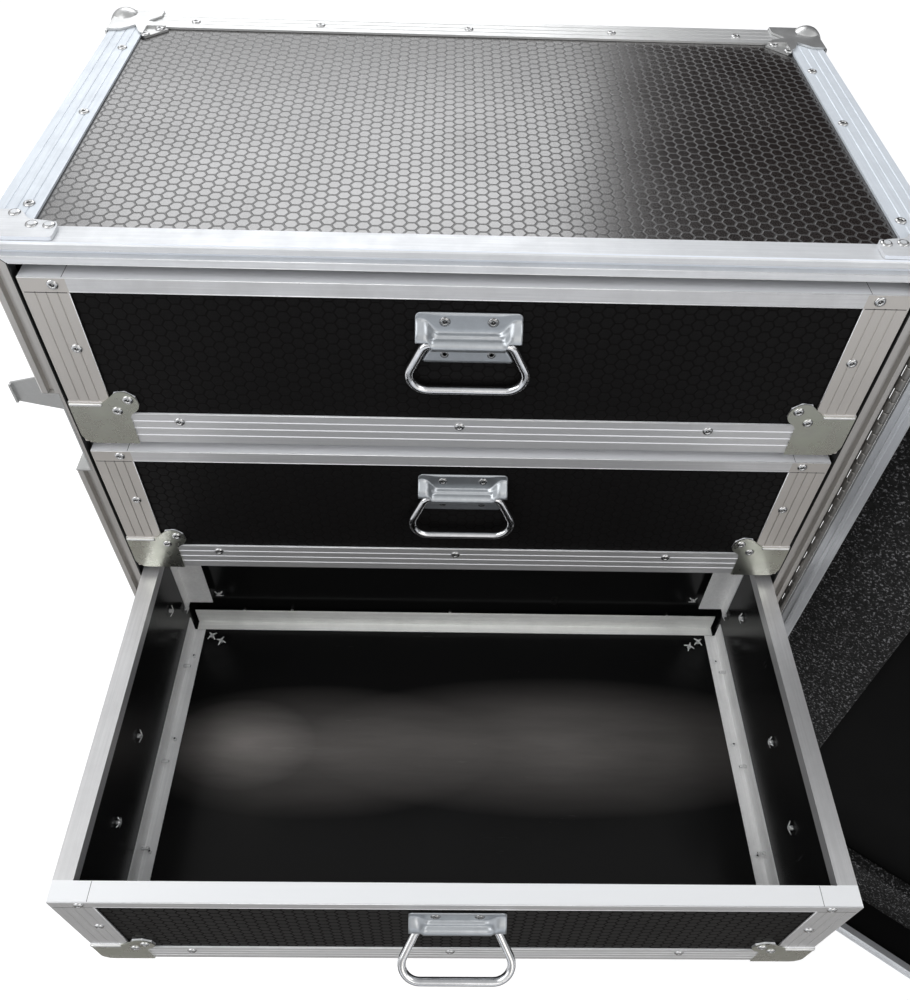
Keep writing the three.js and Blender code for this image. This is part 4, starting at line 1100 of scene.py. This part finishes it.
def makeFoam():
    bm = bmesh.new()
    bm.from_mesh(nodes["door_foam"].data)
    bmesh.ops.remove_doubles(bm, verts=bm.verts, dist=0.01 * mm)
    bmesh.ops.dissolve_limit(bm, angle_limit=math.radians(1), verts=bm.verts, edges=bm.edges)
    bmesh.ops.bevel(bm, geom=bm.edges[:], offset=foamRing["edge"] * mm, offset_type="OFFSET", affect="EDGES",
                    segments=3, profile=0.5, material=-1, clamp_overlap=True)
    piece = settle(bm, "doorFoam", "door", "foam")
    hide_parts("door_foam")


makeFoam()
print("foam is in")


# Angles inside the drawers: along the floor at both sides and the back, and upright in the back corners

innerAngle = {
    "sheet": 1.5,
    "side": (14, 28),
    "back": (12, 26),
    "corner": (29, 14),
    "cornerFoot": 44,
    "cornerHead": 22,
    "shortBy": 4,
    "apart": 0.6,
    "edge": 0.35,
}


def barOf(bm, section, start, across, up, along, long):
    # a section of (across, up) points in mm, drawn out along a direction
    across, up, along = Vector(across), Vector(up), Vector(along)
    corners = [bm.verts.new((Vector(start) + across * a + up * b) * mm) for a, b in section]
    face = bm.faces.new(corners)
    grown = bmesh.ops.extrude_face_region(bm, geom=[face], use_keep_orig=True)["geom"]
    moveNew(bm, grown, along * long * mm)


def angleSection(across, up):
    sheet = innerAngle["sheet"]
    return ((0, 0), (across, 0), (across, sheet), (sheet, sheet), (sheet, up), (0, up))


def innerAngles(number):
    top, bottom, front = drawerPlace(number)
    floor, inner = bottom + drawerWall, drawerInner
    near, far = front + frontDeep, front + drawerLong - drawerWall
    foot, head = innerAngle["cornerFoot"], innerAngle["cornerHead"]
    short = far - near - innerAngle["back"][0] - innerAngle["apart"]
    bm = bmesh.new()
    for side in (-1, 1):
        barOf(bm, angleSection(*innerAngle["side"]), (side * inner, near, floor), (-side, 0, 0), (0, 0, 1),
              (0, 1, 0), short)
        barOf(bm, angleSection(*innerAngle["corner"]), (side * inner, far, floor + foot), (-side, 0, 0),
              (0, -1, 0), (0, 0, 1), top - floor - foot - head)
    sides = len(bm.faces)
    half = inner - innerAngle["shortBy"]
    barOf(bm, angleSection(*innerAngle["back"]), (-half, far, floor), (0, -1, 0), (0, 0, 1), (1, 0, 0), 2 * half)
    bm.faces.ensure_lookup_table()
    for face in bm.faces[sides:]:
        face.material_index = 1
    piece = settle(bm, f"drawer{number}InnerAngles", f"drawer_{number}", "angleBar", smooth=False,
                   extra=("backAngleBar",))
    finishBy(piece, "BEVEL", width=innerAngle["edge"] * mm, segments=2, limit_method="ANGLE")
    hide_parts(f"drawer_{number}_angles")


for number in range(1, 6):
    innerAngles(number)
print("inner angles are in")


# Rolled edges of the drawer fronts and the mouth as thin rods, near-white and matt as a painted highlight, and
# dark joints

edgeBead = {
    "radius": 0.55,
    "lower": 35,
    "rim": 13,
    "half": 303.5,
    "topHalf": 338.6,
    "lowerHalf": 291.5,
    # of the upright ones: out past the half, up from the foot, down from the top
    "upright": (0.4, 62, 14),
    # of the mouth: in from its outer edge, half length, behind the face, thickness
    "mouth": ((18.2, 341, 0.55, 1.1), (6.0, 350, 0.5, 1.0), (12.5, 350, 0.5, 1.0)),
}

joint = {
    "wide": 0.7,
    "proud": 0.03,
    "sunk": 0.3,
    "mouthFlats": ((0.6, 5.8), (12.6, 18.2)),
    # under the rim, from and to, and how far below it; and over the rim, out and how deep
    "rimEnd": (305, 337.5, 0.6),
    "rimTop": (306, 17),
}


def rod(bm, start, end, radius):
    start, end = Vector(start), Vector(end)
    away = end - start
    bmesh.ops.create_cone(bm, cap_ends=True, segments=8, radius1=radius * mm, radius2=radius * mm,
                          depth=away.length * mm, matrix=Matrix.Translation((start + end) / 2 * mm)
                          @ away.to_track_quat("Z", "Y").to_matrix().to_4x4())


def strip(bm, start, end, wide, normal):
    # a dark line let into a face
    start, end, normal = Vector(start), Vector(end), Vector(normal)
    proud, sunk = joint["proud"], joint["sunk"]
    barOf(bm, ((-wide / 2, -sunk), (wide / 2, -sunk), (wide / 2, proud), (-wide / 2, proud)), start,
          (end - start).normalized().cross(normal), normal, (end - start).normalized(), (end - start).length)


def frontLines(number):
    top, bottom, front = drawerPlace(number)
    radius, half, rim = edgeBead["radius"], edgeBead["half"], edgeBead["rim"]
    sunk = radius * 0.55
    y = front + sunk
    bm = bmesh.new()
    for z, reach in ((top - sunk, edgeBead["topHalf"]), (top - rim + sunk, half),
                     (bottom + edgeBead["lower"] - sunk, edgeBead["lowerHalf"])):
        rod(bm, (-reach, y, z), (reach, y, z), radius)
    beyond, up, down = edgeBead["upright"]
    for x in (-half - beyond, half + beyond):
        rod(bm, (x, y, bottom + up), (x, y, top - down), radius * 0.7)
    settle(bm, f"drawer{number}EdgeBeads", f"drawer_{number}", "paintedHighlightMetal")
    bm = bmesh.new()
    (first, last, below), (across, deep) = joint["rimEnd"], joint["rimTop"]
    z = top - rim - below
    for side in (-1, 1):
        strip(bm, (side * first, front, z), (side * last, front, z), joint["wide"], (0, -1, 0))
        strip(bm, (side * across, front, top), (side * across, front + deep, top), joint["wide"] * 0.6, (0, 0, 1))
    settle(bm, f"drawer{number}Joints", f"drawer_{number}", "rivetHole", smooth=False)


def mouthLines():
    bm = bmesh.new()
    for z, up in caseEnds:
        for inward, reach, behind, thick in edgeBead["mouth"] if up > 0 else edgeBead["mouth"][:1]:
            level, y = z - up * inward, caseMouth + behind
            rod(bm, (-reach, y, level), (reach, y, level), edgeBead["radius"] * thick)
    settle(bm, "mouthEdgeBeads", "cabinet", "paintedHighlightMetal")
    bm = bmesh.new()
    for side, z, up in caseCorners:
        for ends in joint["mouthFlats"]:
            start, end = ((side * (caseSide - inward), caseMouth, z - up * inward) for inward in ends)
            strip(bm, start, end, joint["wide"], (0, -1, 0))
    settle(bm, "mouthJoints", "cabinet", "rivetHole", smooth=False)


for number in range(1, 6):
    frontLines(number)
mouthLines()
print("edges and joints are in")


# Rivet ends inside the drawers: some spread like petals, some plain pins

rivetEnds = {
    "petals": 4,
    "petalLength": 5.2,
    "pinRadius": 1.9,
    "sheet": 1.5,
    # through the side walls: back from the front, up from the floor, turn
    "wallPetals": ((177, 98, 0.2), (91, 95, 0.7), (325, 100, 0.1), (360, 52, 0.5)),
    "sidePins": ((188, 12.5), (95, 12.0), (305, 13.0)),
    # through the floor: back from the front, in from the wall
    "floorStubs": ((324, 8.0), (218, 7.6), (95, 8.0)),
    "floorPetals": ((353, 24, 0.3), (346, 36, 0.8)),
    # through the back: out from the middle, up from the floor
    "backStubs": ((-263, 12), (263, 12), (-8.6, 13)),
    "backPetals": (288, 48),
    "backPin": (-204, 14),
    # through the front: out from the middle, down from the rim
    "frontStubs": ((308.5, 20), (317, 32)),
    "frontPins": ((-250, -5, 215), 15),
}


def petalShape():
    bm = bmesh.new()
    bmesh.ops.create_cone(bm, cap_ends=True, segments=12, radius1=2.3 * mm, radius2=1.9 * mm, depth=4.0 * mm,
                          matrix=Matrix.Translation((0, 0, 2.0 * mm)))
    for k in range(rivetEnds["petals"]):
        around = Matrix.Rotation(k * 2 * math.pi / rivetEnds["petals"] + 0.4, 4, "Z")
        petal = bmesh.ops.create_cube(bm, size=1)["verts"]
        for vert in petal:
            out = vert.co.x + 0.5
            vert.co = Vector((1.2 + out * rivetEnds["petalLength"], vert.co.y * (2.2 - 1.1 * out),
                              4.2 + vert.co.z * 0.7 - out * out * 2.4)) * mm
        bmesh.ops.transform(bm, verts=petal, matrix=around)
    return meshFrom(bm, "petalShape")


def pinShape(long):
    radius = rivetEnds["pinRadius"]
    return spun([(0, 0), (radius, 0), (radius, long - 0.6), (radius - 0.5, long), (radius * 0.55, long),
                 (radius * 0.5, long - 1.6), (0, long - 1.6)], 12, hole=(0, radius * 0.56, long - 0.2))


petals = petalShape()
pins = pinShape(8)
stub = pinShape(4)


def drawerRivetEnds(number):
    top, bottom, front = drawerPlace(number)
    floor, sheet = bottom + drawerWall, rivetEnds["sheet"]
    back = front + drawerLong - sheet
    bm = bmesh.new()
    for side in (-1, 1):
        wall, inward = side * drawerInner, (-side, 0, 0)
        for y, up, turn in rivetEnds["wallPetals"]:
            stamp(bm, petals, (wall, front + y, floor + up), inward, turn)
        for y, up in rivetEnds["sidePins"]:
            stamp(bm, pins, (wall - side * sheet, front + y, floor + up), inward)
        for y, across in rivetEnds["floorStubs"]:
            stamp(bm, stub, (wall - side * across, front + y, floor + sheet), (0, 0, 1))
        for y, across, turn in rivetEnds["floorPetals"]:
            stamp(bm, petals, (wall - side * across, front + y, floor), (0, 0, 1), turn)
        across, up = rivetEnds["backPetals"]
        stamp(bm, petals, (side * across, back + sheet, floor + up), (0, -1, 0), 0.4)
        for across, down in rivetEnds["frontStubs"]:
            stamp(bm, stub, (side * across, front + frontDeep, top - down), (0, 1, 0))
    for x, up in rivetEnds["backStubs"]:
        stamp(bm, stub, (x, back, floor + up), (0, -1, 0))
    x, up = rivetEnds["backPin"]
    stamp(bm, pins, (x, back, floor + up), (0, -1, 0))
    row, up = rivetEnds["frontPins"]
    for x in row:
        stamp(bm, pins, (x, front + frontDeep, floor + up), (0, 1, 0))
    settleRivets(bm, f"drawer{number}RivetEnds", f"drawer_{number}", "rivetEnd")


for number in range(1, 6):
    drawerRivetEnds(number)
print("rivet ends are in")
